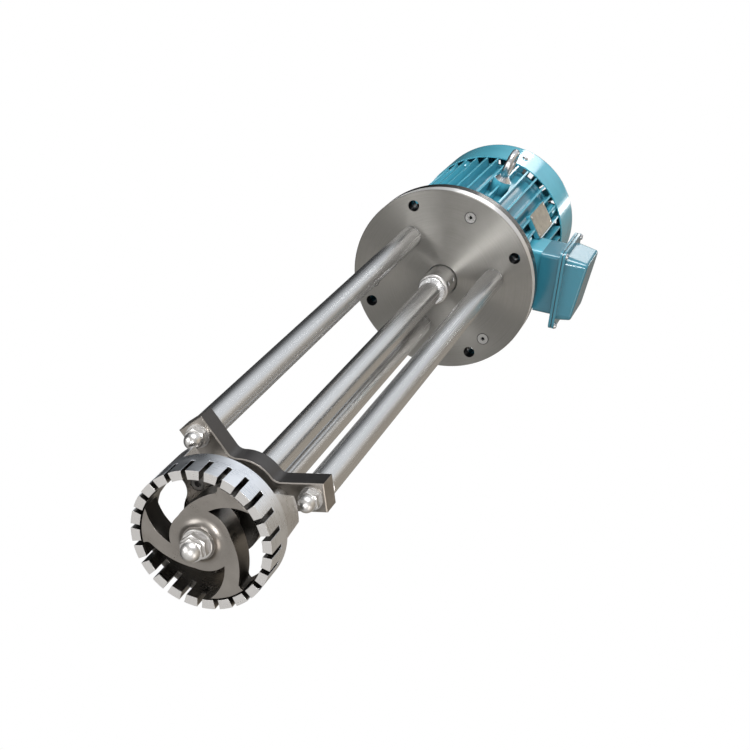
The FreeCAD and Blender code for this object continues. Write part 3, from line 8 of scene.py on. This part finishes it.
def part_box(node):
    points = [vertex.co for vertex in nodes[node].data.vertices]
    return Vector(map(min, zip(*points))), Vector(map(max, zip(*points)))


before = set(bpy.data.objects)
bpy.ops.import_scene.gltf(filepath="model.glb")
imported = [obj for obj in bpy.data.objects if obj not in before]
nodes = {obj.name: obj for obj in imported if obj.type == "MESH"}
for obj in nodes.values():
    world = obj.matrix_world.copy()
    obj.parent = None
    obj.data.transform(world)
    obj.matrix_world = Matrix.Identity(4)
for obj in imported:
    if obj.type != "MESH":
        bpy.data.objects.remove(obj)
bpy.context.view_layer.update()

scene = bpy.context.scene


# Camera, at the photograph's place below the plate. BACK points from the object to the camera.

CAMERA_AT = Vector((0.24177, -0.82474, -1.88930))
RIGHT = Vector((0.87311563, -0.36783535, 0.31994728))
UP = Vector((-0.47106721, -0.80557872, 0.35935862))
BACK = Vector((0.12555792, -0.4644783, -0.87663853))
SENSOR_MM = 36
LENS_MM = 73.60

camera = bpy.data.objects.new("Camera", bpy.data.cameras.new("Camera"))
scene.collection.objects.link(camera)
turn = Matrix((RIGHT, UP, BACK)).transposed().to_4x4()
camera.matrix_world = Matrix.Translation(CAMERA_AT) @ turn
camera.data.sensor_width = SENSOR_MM
camera.data.lens = LENS_MM
camera.data.clip_start = 0.05
camera.data.clip_end = 60
scene.camera = camera


# Shader helpers

class Shader:
    """A material's node tree, built node by node."""

    def __init__(self, name):
        self.material = bpy.data.materials.new(name)
        self.material.use_nodes = True
        self.tree = self.material.node_tree
        self.surface = self.tree.nodes["Principled BSDF"]
        self.place = self.node("ShaderNodeTexCoord").outputs["Object"]

    def node(self, kind, **settings):
        made = self.tree.nodes.new(kind)
        for key, value in settings.items():
            setattr(made, key, value)
        return made

    def plug(self, socket, value):
        if isinstance(value, bpy.types.NodeSocket):
            self.tree.links.new(value, socket)
        else:
            socket.default_value = value

    def fed(self, made, values):
        """A node with values in its first inputs."""
        for socket, value in zip(made.inputs, values):
            self.plug(socket, value)
        return made

    def maths(self, operation, *values):
        return self.fed(self.node("ShaderNodeMath", operation=operation), values).outputs[0]

    def vectors(self, operation, *values):
        """A vector operation's number where it gives one, and else its vector."""
        made = self.fed(self.node("ShaderNodeVectorMath", operation=operation), values)
        return made.outputs["Value" if operation in ("DOT_PRODUCT", "LENGTH") else "Vector"]

    def split(self, vector):
        return self.fed(self.node("ShaderNodeSeparateXYZ"), [vector]).outputs

    def join(self, x, y, z):
        return self.fed(self.node("ShaderNodeCombineXYZ"), (x, y, z)).outputs[0]

    def stretch(self, x, y, z):
        """The place on the object, scaled along each axis."""
        return self.vectors("MULTIPLY", self.place, (x, y, z))

    def hypot(self, first, second):
        return self.maths("SQRT", self.maths("ADD", self.maths("MULTIPLY", first, first),
                                             self.maths("MULTIPLY", second, second)))

    def blend(self, first, share, second, second_share):
        """Two values added in given shares."""
        return self.maths("ADD", self.maths("MULTIPLY", first, share),
                          self.maths("MULTIPLY", second, second_share))

    def noise(self, vector, scale, detail=3, rough=0.5):
        made = self.node("ShaderNodeTexNoise")
        self.plug(made.inputs["Vector"], vector)
        made.inputs["Scale"].default_value = scale
        made.inputs["Detail"].default_value = detail
        made.inputs["Roughness"].default_value = rough
        return made.outputs["Fac"]

    def band(self, value, low, high, from_low=0.3, from_high=0.7):
        """Spreads a value from one range over another."""
        made = self.node("ShaderNodeMapRange")
        return self.fed(made, (value, from_low, from_high, low, high)).outputs[0]

    def mix(self, share, first, second):
        made = self.node("ShaderNodeMix", data_type="RGBA")
        self.plug(made.inputs[0], share)
        self.plug(made.inputs[6], first)
        self.plug(made.inputs[7], second)
        return made.outputs[2]

    def shaded(self, share, colour):
        """A colour times a share."""
        return self.mix(share, rgb(0, 0, 0), colour)

    def facing(self):
        return self.node("ShaderNodeNewGeometry").outputs["True Normal"]

    def wall(self):
        """One on upright faces, none on level ones."""
        level = self.maths("ABSOLUTE", self.split(self.facing())[2])
        return self.band(level, 1, 0, 0.2, 0.5)

    def arm_end(self, start):
        """One on faces that look away from the shaft beyond a distance from it."""
        flat = self.stretch(1, 1, 0)
        outward = self.vectors("DOT_PRODUCT", self.facing(), self.vectors("NORMALIZE", flat))
        beyond = self.band(self.vectors("LENGTH", flat), 0, 1, start, start + 0.002)
        return self.maths("MULTIPLY", self.band(outward, 0, 1, 0.75, 0.9), beyond)

    def shade_in_hollows(self, reach, dark, low=0.2, high=0.9):
        """One in the open, falling to a dark share in hollows: painted shade from occlusion."""
        made = self.node("ShaderNodeAmbientOcclusion", samples=4)
        made.inputs["Distance"].default_value = reach
        return self.band(made.outputs["AO"], dark, 1.0, low, high)

    def normal(self, height, strength, distance, edge=0.0):
        """A bump over slightly rounded edges."""
        made = self.node("ShaderNodeBump")
        made.inputs["Strength"].default_value = strength
        made.inputs["Distance"].default_value = distance
        self.plug(made.inputs["Height"], height)
        if edge:
            round_edge = self.node("ShaderNodeBevel", samples=4)
            round_edge.inputs["Radius"].default_value = edge
            self.plug(made.inputs["Normal"], round_edge.outputs[0])
        self.plug(self.surface.inputs["Normal"], made.outputs[0])

    def set(self, **values):
        for key, value in values.items():
            self.plug(self.surface.inputs[key.replace("_", " ")], value)


def rgb(red, green, blue):
    return (red, green, blue, 1)


def about(shader, centre=(0, 0)):
    """Distance from an upright axis, the angle round it, and the height, for turned work."""
    x, y, z = shader.split(shader.place)
    x = shader.maths("SUBTRACT", x, centre[0])
    y = shader.maths("SUBTRACT", y, centre[1])
    return shader.hypot(x, y), shader.maths("ARCTAN2", y, x), z


def near(shader, spot, count):
    """Distance from the nearest of some upright axes spread evenly round the shaft."""
    reach, angle, _ = about(shader)
    step = math.tau / count
    turned = shader.maths("SUBTRACT", angle, math.atan2(spot[1], spot[0]))
    shifted = shader.maths("FLOORED_MODULO", shader.maths("ADD", turned, step / 2), step)
    wrapped = shader.maths("SUBTRACT", shifted, step / 2)
    along = shader.maths("SUBTRACT", shader.maths("MULTIPLY", reach, shader.maths("COSINE", wrapped)),
                         math.hypot(*spot))
    across = shader.maths("MULTIPLY", reach, shader.maths("SINE", wrapped))
    return shader.hypot(along, across)


# Places on the part that a finish follows, in metres

BOLT_SPOT, BOLT_COUNT, BOLT_HOLE_R = (0.0760, 0.0760), 4, 0.0075    # the plate's through holes
SCREW_CIRCLE_R, SCREW_TURN, SCREW_COUNT = 0.098, 30, 3              # the plate's sunk screws
# within the socket radius and past the head radius the screws are painted dark as shade
SOCKET_R, SCREW_HEAD_R = 0.0022, 0.0070
BARE_RIM_R = 0.1232                                                 # the motor flange's turned rim
STATOR_RIM_R = 0.0692                                               # just inside the ring's outside
STATOR_BAND_TOP, STATOR_TIPS = -0.7370, -0.7758
ARM_END_REACH = 0.080


def in_holes(shader, past):
    """One in the through holes and up to a distance past their edge."""
    return shader.band(near(shader, BOLT_SPOT, BOLT_COUNT), 1, 0,
                       BOLT_HOLE_R + past, BOLT_HOLE_R + past + 0.0001)


# Finishes

TURNED = (1400, 1.5, 1400)     # fine rings: how fast a grain varies outward, round and along
FACED = (2600, 1.5, 2600)
DRAWN = (300, 14, 7)           # faint streaks along a ground bar


def turned_steel(name, tone, dark, rough, centre=(0, 0), anisotropy=0.0, edge=0.0004, lines=TURNED,
                 bump=0.12, play=0.22, shaded_holes=False, sides=None):
    """Lathe-turned metal with fine rings, or ground bar with faint lengthwise streaks."""
    shader = Shader(name)
    grain = [shader.maths("MULTIPLY", way, pace) for way, pace in zip(about(shader, centre), lines)]
    rings = shader.noise(shader.join(*grain), 1.0, 2)
    cloud = shader.noise(shader.stretch(1, 1, 0.35), 22, 4, 0.6)
    fine = shader.noise(shader.place, 900, 2)
    blend = shader.blend(rings, 0.55, cloud, 0.45)
    colour = shader.mix(shader.band(blend, 0, 1, 0.35, 0.65), rgb(*dark), rgb(*tone))
    if sides:
        colour = shader.mix(shader.wall(), colour, rgb(*sides))
    # painted shade: the through holes near black
    if shaded_holes:
        colour = shader.mix(in_holes(shader, 0.0001), colour, rgb(0.012, 0.012, 0.013))
    shader.set(Base_Color=colour, Metallic=1.0,
               Roughness=shader.band(blend, rough * (1 - play), rough * (1 + play), 0.35, 0.65))
    if anisotropy:
        shader.set(Anisotropic=anisotropy, Anisotropic_Rotation=0.25)
        tangent = shader.node("ShaderNodeTangent", direction_type="RADIAL", axis="Z")
        shader.plug(shader.surface.inputs["Tangent"], tangent.outputs[0])
    shader.normal(shader.maths("ADD", rings, shader.maths("MULTIPLY", fine, 0.4)), bump, 0.00008, edge)
    return shader.material


def satin_steel(name, tone, dark, rough, scale=60, edge=0.0005, grain=(1, 1, 1), sides=None,
                shade_reach=None, bump=0.15):
    """Milled or blasted metal with faint tool marks and cloudy tone; given sides, its upright flanks
    get a painted dark reflection, and given a reach, painted shade in hollows.
    """
    shader = Shader(name)
    cloud = shader.noise(shader.place, scale, 5, 0.6)
    marks = shader.noise(shader.stretch(*grain), 1500, 3, 0.6)
    both = shader.blend(cloud, 0.6, marks, 0.4)
    colour = shader.mix(shader.band(both, 0, 1, 0.38, 0.62), rgb(*dark), rgb(*tone))
    # painted dark reflection on the upright flanks, away from the arms' ends
    if sides:
        inward = shader.maths("SUBTRACT", 1.0, shader.arm_end(ARM_END_REACH))
        flanks = shader.maths("MULTIPLY", shader.wall(), inward)
        colour = shader.mix(flanks, colour, rgb(*sides))
    # painted shade from occlusion in hollows
    if shade_reach:
        colour = shader.shaded(shader.shade_in_hollows(shade_reach, 0.12, 0.3, 0.85), colour)
    shader.set(Base_Color=colour, Metallic=1.0,
               Roughness=shader.band(both, rough * 0.8, rough * 1.2, 0.38, 0.62))
    shader.normal(marks, bump, 0.0001, edge)
    return shader.material


def enamel(name, tone, rough=0.2, ripple=0.12, bare=None):
    """Gloss enamel over a casting, with a slight orange peel, random cloudy tone and painted shade in
    hollows.

    It is left off beyond a bare distance from the shaft, and holes through it are painted near black as
    shade.
    """
    shader = Shader(name)
    peel = shader.noise(shader.place, 260, 3, 0.5)
    cloud = shader.noise(shader.place, 14, 4, 0.6)
    # random cloudy tone times painted shade from occlusion in hollows
    shade = shader.maths("MULTIPLY", shader.band(cloud, 0.75, 1.0), shader.shade_in_hollows(0.012, 0.30))
    colour = shader.mix(shade, rgb(*TEAL_DARK_AND_SHADED), rgb(*tone))
    shine = shader.band(peel, rough * 0.8, rough * 1.3)
    if bare:
        rim = shader.band(about(shader)[0], 0, 1, bare, bare + 0.0002)
        metal = shader.mix(shader.noise(shader.stretch(1, 1, 40), 60, 3), rgb(*STEEL_DARK), rgb(*STEEL))
        # painted shade: the through holes near black, without coat
        inside = in_holes(shader, 0.0002)
        colour = shader.mix(inside, shader.mix(rim, colour, metal), rgb(0.004, 0.006, 0.007))
        uncoated = shader.maths("MAXIMUM", rim, inside)
        shader.set(Metallic=uncoated, Coat_Weight=shader.band(uncoated, 0.5, 0, 0, 1))
    else:
        shader.set(Coat_Weight=0.5)
    shader.set(Base_Color=colour, Roughness=shine, Coat_Roughness=0.08)
    shader.normal(peel, ripple, 0.0003, 0.0008)
    return shader.material


def polymer(name, tone, dark, rough=0.45, scale=500, sheen=0.0):
    """Moulded plastic or rubber with a fine matt skin."""
    shader = Shader(name)
    skin = shader.noise(shader.place, scale, 3)
    cloud = shader.noise(shader.place, 30, 3)
    shader.set(Base_Color=shader.mix(shader.band(cloud, 0, 1), rgb(*dark), rgb(*tone)),
               Roughness=shader.band(skin, rough * 0.85, rough * 1.15), Sheen_Weight=sheen)
    shader.normal(skin, 0.2, 0.0002, 0.0003)
    return shader.material


def laminated(name, tone, dark):
    """A stack of thin sheets along Z."""
    shader = Shader(name)
    wave = shader.node("ShaderNodeTexWave", wave_type="BANDS", bands_direction="Z", wave_profile="SAW")
    wave.inputs["Scale"].default_value = 320
    shader.plug(wave.inputs["Vector"], shader.place)
    shader.set(Base_Color=shader.mix(wave.outputs["Fac"], rgb(*dark), rgb(*tone)), Metallic=1.0,
               Roughness=0.4)
    shader.normal(wave.outputs["Fac"], 0.3, 0.0002)
    return shader.material


def wound(name, tone, dark):
    """Varnished wire wound round the axis."""
    shader = Shader(name)
    reach, _, height = about(shader)
    turns = shader.node("ShaderNodeTexWave", wave_type="RINGS", rings_direction="SPHERICAL")
    turns.inputs["Scale"].default_value = 90
    turns.inputs["Distortion"].default_value = 2
    shader.plug(turns.inputs["Vector"], shader.join(reach, 0.0, height))
    shader.set(Base_Color=shader.mix(turns.outputs["Fac"], rgb(*dark), rgb(*tone)), Metallic=0.7,
               Roughness=shader.band(shader.noise(shader.place, 120), 0.25, 0.5))
    shader.normal(turns.outputs["Fac"], 0.6, 0.0006)
    return shader.material


def sunk_heads(name, tone, dark):
    """Countersunk screws, painted dark as shade in the socket and round the head's rim, where it meets
    the plate.
    """
    shader = Shader(name)
    turned = math.radians(SCREW_TURN)
    spot = SCREW_CIRCLE_R * math.cos(turned), SCREW_CIRCLE_R * math.sin(turned)
    apart = near(shader, spot, SCREW_COUNT)
    marks = shader.noise(shader.place, 900, 3)
    socket = shader.band(apart, 1, 0, SOCKET_R, SOCKET_R + 0.0004)
    rim = shader.band(apart, 0, 1, SCREW_HEAD_R, SCREW_HEAD_R + 0.0004)
    metal = shader.mix(shader.band(marks, 0, 1), rgb(*dark), rgb(*tone))
    painted_gap_shade = shader.maths("MAXIMUM", socket, rim)
    shader.set(Base_Color=shader.mix(painted_gap_shade, metal, rgb(0.015, 0.015, 0.016)), Metallic=1.0,
               Roughness=shader.band(marks, 0.22, 0.32))
    shader.normal(marks, 0.2, 0.0001, 0.0003)
    return shader.material


def stator_steel(name):
    """Outside band painted with a bluish-white reflection and the teeth's ends painted lighter as a
    highlight, satin within, the painted reflection weaker up the tabs.
    """
    shader = Shader(name)
    reach, angle, height = about(shader)
    rings = shader.noise(shader.join(shader.maths("MULTIPLY", reach, 900),
                                     shader.maths("MULTIPLY", angle, 2),
                                     shader.maths("MULTIPLY", height, 1100)), 1.0, 2)
    cloud = shader.noise(shader.place, 55, 5, 0.6)
    both = shader.blend(rings, 0.45, cloud, 0.55)
    grain = shader.band(both, 0, 1, 0.36, 0.64)
    warm = shader.mix(grain, rgb(0.35, 0.325, 0.295), rgb(0.50, 0.465, 0.43))
    # bluish-white painted reflection for the outside band
    reflection_tone = shader.mix(grain, rgb(0.68, 0.70, 0.74), rgb(0.80, 0.82, 0.86))
    collar = shader.band(height, 1, 0.6, STATOR_BAND_TOP - 0.0020, STATOR_BAND_TOP)
    outside = shader.band(reach, 0, 1, STATOR_RIM_R, STATOR_RIM_R + 0.0004)
    tips = shader.band(height, 1, 0, STATOR_TIPS, STATOR_TIPS + 0.0002)
    painted_sheen_share = shader.maths("MAXIMUM", shader.maths("MULTIPLY", collar, outside), tips)
    # painted shade from occlusion inside the head and between the teeth
    unshaded_share = shader.maths("MAXIMUM", painted_sheen_share, shader.shade_in_hollows(0.045, 0.06, 0.35, 0.85))
    # the teeth's ends painted lighter as a highlight
    colour = shader.mix(tips, shader.mix(painted_sheen_share, warm, reflection_tone), rgb(0.68, 0.665, 0.655))
    shader.set(Base_Color=shader.shaded(unshaded_share, colour), Metallic=1.0,
               Roughness=shader.band(both, 0.24, 0.36, 0.36, 0.64))
    shader.normal(rings, 0.15, 0.0001, 0.0005)
    return shader.material


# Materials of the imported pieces: each finish has a tone and the darker tone it varies to

STEEL, STEEL_DARK = (0.285, 0.278, 0.262), (0.215, 0.208, 0.193)
ZINC, ZINC_DARK = (0.66, 0.67, 0.69), (0.50, 0.51, 0.53)
TEAL_DARK_AND_SHADED = (0.008, 0.085, 0.125)

# its through holes painted near black as shade
plate_metal = turned_steel("turned_plate", STEEL, STEEL_DARK, 0.44, anisotropy=0.96, lines=FACED,
                           shaded_holes=True, sides=(0.62, 0.615, 0.61))
rod_metals = {}
for k in (1, 2, 3):
    low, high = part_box(f"support_rod_{k}")
    middle = (low + high) / 2
    rod_metals[f"support_rod_{k}"] = turned_steel(
        f"ground_rod_{k}", (0.68, 0.68, 0.685), (0.61, 0.61, 0.615), 0.26,
        centre=(middle.x, middle.y), lines=DRAWN, bump=0.004, play=0.07, edge=0)
shaft_metal = turned_steel("ground_shaft", (0.72, 0.72, 0.725), (0.65, 0.65, 0.655), 0.26,
                           lines=DRAWN, bump=0.004, play=0.07, edge=0)
sleeve_metal = turned_steel("turned_sleeve", (0.62, 0.61, 0.60), (0.50, 0.49, 0.48), 0.30)
# its flanks painted near black as a dark reflection
bracket_metal = satin_steel("milled_bracket", (0.40, 0.372, 0.345), (0.28, 0.26, 0.236), 0.34,
                            sides=(0.085, 0.08, 0.078))
stator_metal = stator_steel("turned_stator")
# painted shade in its hollows
rotor_metal = satin_steel("machined_rotor", (0.31, 0.288, 0.266), (0.26, 0.241, 0.221), 0.33,
                          scale=40, shade_reach=0.03, bump=0.06)
nut_metal = satin_steel("polished_nuts", (0.62, 0.61, 0.60), (0.55, 0.54, 0.53), 0.38,
                        edge=0.0003, bump=0.02)
bolt_metal = satin_steel("plated_bolts", ZINC, ZINC_DARK, 0.25, edge=0.0003)
eye_metal = satin_steel("plated_eye_bolt", ZINC, ZINC_DARK, 0.28, scale=140, bump=0.03)
bearing_metal = turned_steel("bearing_rings", (0.65, 0.65, 0.66), (0.52, 0.52, 0.53), 0.15)
inner_shaft_metal = turned_steel("motor_shaft_steel", (0.6, 0.6, 0.6), (0.45, 0.45, 0.45), 0.25)
screw_metal = sunk_heads("sunk_screws", (0.40, 0.395, 0.385), (0.31, 0.305, 0.295))
# the stator's bolts painted dark as the shade they sit in
bolts_painted_shade = satin_steel("bolts_painted_shade", (0.16, 0.155, 0.15), (0.09, 0.088, 0.085), 0.35, edge=0.0003)
# One teal enamel in lit and shaded copies: painted lighter on the frame, rear shield and cowl, painted
# darker as shade on the terminal box.
paint = enamel("teal_enamel", (0.095, 0.46, 0.60))
shield_paint = enamel("teal_enamel_shield", (0.055, 0.29, 0.40), bare=BARE_RIM_R)
cowl_paint_lit = enamel("teal_enamel_cowl_lit", (0.105, 0.48, 0.62), rough=0.14, ripple=0.05)
box_paint_shaded = enamel("teal_enamel_box_shaded", (0.038, 0.205, 0.28), rough=0.17, ripple=0.08)
badge_metal = satin_steel("bare_badge", (0.46, 0.41, 0.33), (0.24, 0.21, 0.16), 0.38, scale=90,
                          grain=(1, 1, 12))
rivet_metal = satin_steel("rivets", (0.75, 0.74, 0.72), (0.6, 0.59, 0.57), 0.2)
black_plastic = polymer("black_nylon", (0.035, 0.035, 0.036), (0.02, 0.02, 0.021))
black_rubber = polymer("black_rubber", (0.028, 0.028, 0.028), (0.015, 0.015, 0.015), 0.6, 900, 0.1)
pale_polymer = polymer("pale_bearing_polymer", (0.78, 0.77, 0.72), (0.66, 0.65, 0.6), 0.4)
brown_resin = polymer("brown_resin", (0.22, 0.10, 0.05), (0.14, 0.06, 0.03), 0.35)
sheets = laminated("electrical_sheets", (0.34, 0.34, 0.37), (0.15, 0.15, 0.17))
cage = laminated("rotor_sheets", (0.5, 0.5, 0.52), (0.3, 0.3, 0.32))
copper = wound("varnished_copper", (0.62, 0.25, 0.10), (0.30, 0.10, 0.04))

FINISHES = {
    "mounting_plate": plate_metal, "plate_screws": screw_metal, **rod_metals,
    "lower_bracket": bracket_metal, "shaft_bushing": pale_polymer, "rod_washers": nut_metal,
    "rod_acorn_nuts": nut_metal, "stator_ring": stator_metal, "stator_spacers": sleeve_metal,
    "stator_bolts": bolts_painted_shade, "motor_flange_shield": shield_paint,
    "drive_shield_bolts": bolt_metal, "motor_frame": paint, "motor_stator_core": sheets,
    "motor_windings": copper, "rear_end_shield": paint, "rear_shield_bolts": bolt_metal,
    "fan_cowl": cowl_paint_lit, "cowl_screws": bolt_metal, "drive_bearing_outer": bearing_metal,
    "fan_bearing_outer": bearing_metal, "wave_washer": bearing_metal, "shaft_seal": black_rubber,
    "eye_bolt": eye_metal, "nameplate": badge_metal, "nameplate_rivets": rivet_metal,
    "terminal_box_base": box_paint_shaded, "terminal_box_gasket": black_rubber,
    "terminal_box_lid": box_paint_shaded, "terminal_lid_screws": bolt_metal,
    "terminal_block": brown_resin, "cable_gland": black_plastic,
    "motor_shaft": inner_shaft_metal, "motor_rotor_core": cage,
    "drive_bearing_inner": bearing_metal, "fan_bearing_inner": bearing_metal,
    "cooling_fan": black_plastic, "fan_key": bolt_metal, "fan_circlip": bearing_metal,
    "coupling_sleeve": sleeve_metal, "coupling_set_screws": bolt_metal,
    "coupling_key": bolt_metal, "drive_shaft": shaft_metal, "rotor_key": bolt_metal,
    "mixing_rotor": rotor_metal, "rotor_washer": nut_metal, "rotor_lock_nut": nut_metal,
    "rotor_dome_nut": nut_metal,
}
for name, item in nodes.items():
    item.data.materials.clear()
    item.data.materials.append(FINISHES[name])


# Pale floor, well below the head, as the photograph is taken from below

FLOOR_Z = -3.0
FLOOR_HALF = 9
FLOOR_GLOW = 0.24       # what the floor adds for rays that see the background


def floor_material():
    shader = Shader("pale_floor")
    grain = shader.noise(shader.place, 3, 3)
    tone = shader.mix(shader.band(grain, 0, 1), rgb(0.92, 0.92, 0.915), rgb(0.94, 0.94, 0.935))
    rays = shader.node("ShaderNodeLightPath").outputs
    mirrored = shader.maths("MAXIMUM", rays["Is Camera Ray"], rays["Is Glossy Ray"])
    seen = shader.maths("MAXIMUM", mirrored, rays["Is Transmission Ray"])
    shader.set(Base_Color=tone, Roughness=0.8, Emission_Color=rgb(1, 1, 1),
               Emission_Strength=shader.maths("MULTIPLY", seen, FLOOR_GLOW))
    return shader.material


mesh = bpy.data.meshes.new("floor")
work = bmesh.new()
work.faces.new([work.verts.new((x * FLOOR_HALF, y * FLOOR_HALF, FLOOR_Z))
                for x, y in ((-1, -1), (1, -1), (1, 1), (-1, 1))])
work.to_mesh(mesh)
work.free()
floor = bpy.data.objects.new("floor", mesh)
floor.data.materials.append(floor_material())
scene.collection.objects.link(floor)


# World: white behind the object, an even light on paint, and a plain room for metal to mirror

BRIGHT_WAY = (0.20, -0.98, 0.0)     # towards the camera's side, where the room is white
ASIDE_WAY = (0.90, 0.44, 0.0)       # towards the terminal box, where it is warm and half lit
WORLD_LIGHT = 0.45

world = bpy.data.worlds.new("Studio")
scene.world = world
world.use_nodes = True
tree = world.node_tree
tree.nodes.clear()


def studio(kind, *values, out=0, **settings):
    """A world node's output, with values in its first inputs. None leaves one as it is."""
    made = tree.nodes.new(kind)
    for key, value in settings.items():
        setattr(made, key, value)
    for socket, value in zip(made.inputs, values):
        if isinstance(value, bpy.types.NodeSocket):
            tree.links.new(value, socket)
        elif value is not None:
            socket.default_value = value
    return made.outputs[out]


def studio_maths(operation, *values):
    return studio("ShaderNodeMath", *values, operation=operation)


def studio_band(value, from_low, from_high, low, high):
    return studio("ShaderNodeMapRange", value, from_low, from_high, low, high)


def studio_dot(first, second):
    return studio("ShaderNodeVectorMath", first, second, operation="DOT_PRODUCT", out="Value")


rays = tree.nodes.new("ShaderNodeLightPath").outputs
way = tree.nodes.new("ShaderNodeTexCoord").outputs["Generated"]
height = studio("ShaderNodeSeparateXYZ", way, out=2)
toward = studio_dot(way, BRIGHT_WAY)
aside = studio_dot(way, ASIDE_WAY)
near_side = studio_maths("POWER", studio_band(toward, -0.30, 0.47, 0.0, 1.0), 3.4)
above = studio_maths("MAXIMUM", near_side, studio_band(aside, 0.05, 0.45, 0.03, 0.40))
below = studio_band(aside, -0.35, 0.45, 0.10, 0.42)
room = studio("ShaderNodeMix", studio_band(height, -0.2, 0.2, 0.0, 1.0), None, below, above)
level = studio("ShaderNodeMix", rays["Is Glossy Ray"], None, WORLD_LIGHT, room)
warmth = studio_maths("MAXIMUM", studio_band(aside, 0.0, 0.45, 0.0, 1.0),
                      studio_band(height, -0.5, 0.2, 0.75, 0.0))
tint = studio("ShaderNodeMix", warmth, None, None, None, None, None,
              rgb(0.93, 0.965, 1.0), rgb(1.0, 0.90, 0.76), data_type="RGBA", out=2)
background = studio_maths("MAXIMUM", rays["Is Camera Ray"], rays["Is Transmission Ray"])
chosen = studio("ShaderNodeMixShader", background, studio("ShaderNodeBackground", tint, level),
                studio("ShaderNodeBackground", rgb(1, 1, 1), 1.0))
tree.links.new(chosen, tree.nodes.new("ShaderNodeOutputWorld").inputs["Surface"])


# Lamps

TARGET = Vector((0.02, -0.02, -0.28))


def lamp(name, place, target, power, size, tint=(1, 1, 1)):
    """A rectangular soft light at a place, aimed at a target."""
    data = bpy.data.lights.new(name, "AREA")
    data.shape = "RECTANGLE"
    data.size, data.size_y = size
    data.energy = power
    data.color = tint
    item = bpy.data.objects.new(name, data)
    scene.collection.objects.link(item)
    item.location = place
    item.rotation_mode = "QUATERNION"
    item.rotation_quaternion = (target - item.location).to_track_quat("-Z", "Y")


def studio_lamp(name, right, up, back, power, size, tint=(1, 1, 1)):
    """A large light, placed from the object by the camera's directions."""
    lamp(name, TARGET + RIGHT * right + UP * up + BACK * back, TARGET, power, size, tint)


def glint_lamp(name, spot, way, far, power, size):
    """A small light that a spot on the object sees in a given direction."""
    spot = Vector(spot)
    lamp(name, spot + Vector(way).normalized() * far, spot, power, size)


glint_lamp("Wedge", (0.03, -0.06, 0), (0.151, -0.203, -0.967), 2.6, 19, (0.20, 0.7))
glint_lamp("Lid", (0.15, -0.08, 0.09), (-0.111, -0.338, 0.934), 1.5, 0.28, (0.2, 0.2))
glint_lamp("Cowl", (0.00, -0.11, 0.307), (-0.117, -0.304, 0.946), 1.5, 0.55, (0.16, 0.16))
glint_lamp("CowlSide", (0.08, -0.075, 0.33), (0.32, -0.02, 0.945), 1.5, 0.8, (0.10, 0.5))
studio_lamp("Key", 0.5, 2.2, 1.2, 60, (1.6, 1.0))
studio_lamp("Fill", -2.0, 0.5, 1.6, 22, (1.2, 1.6))
studio_lamp("Low", 1.2, -1.6, 1.4, 10, (1.4, 1.0), (1.0, 0.93, 0.86))

scene.view_settings.view_transform = "Standard"
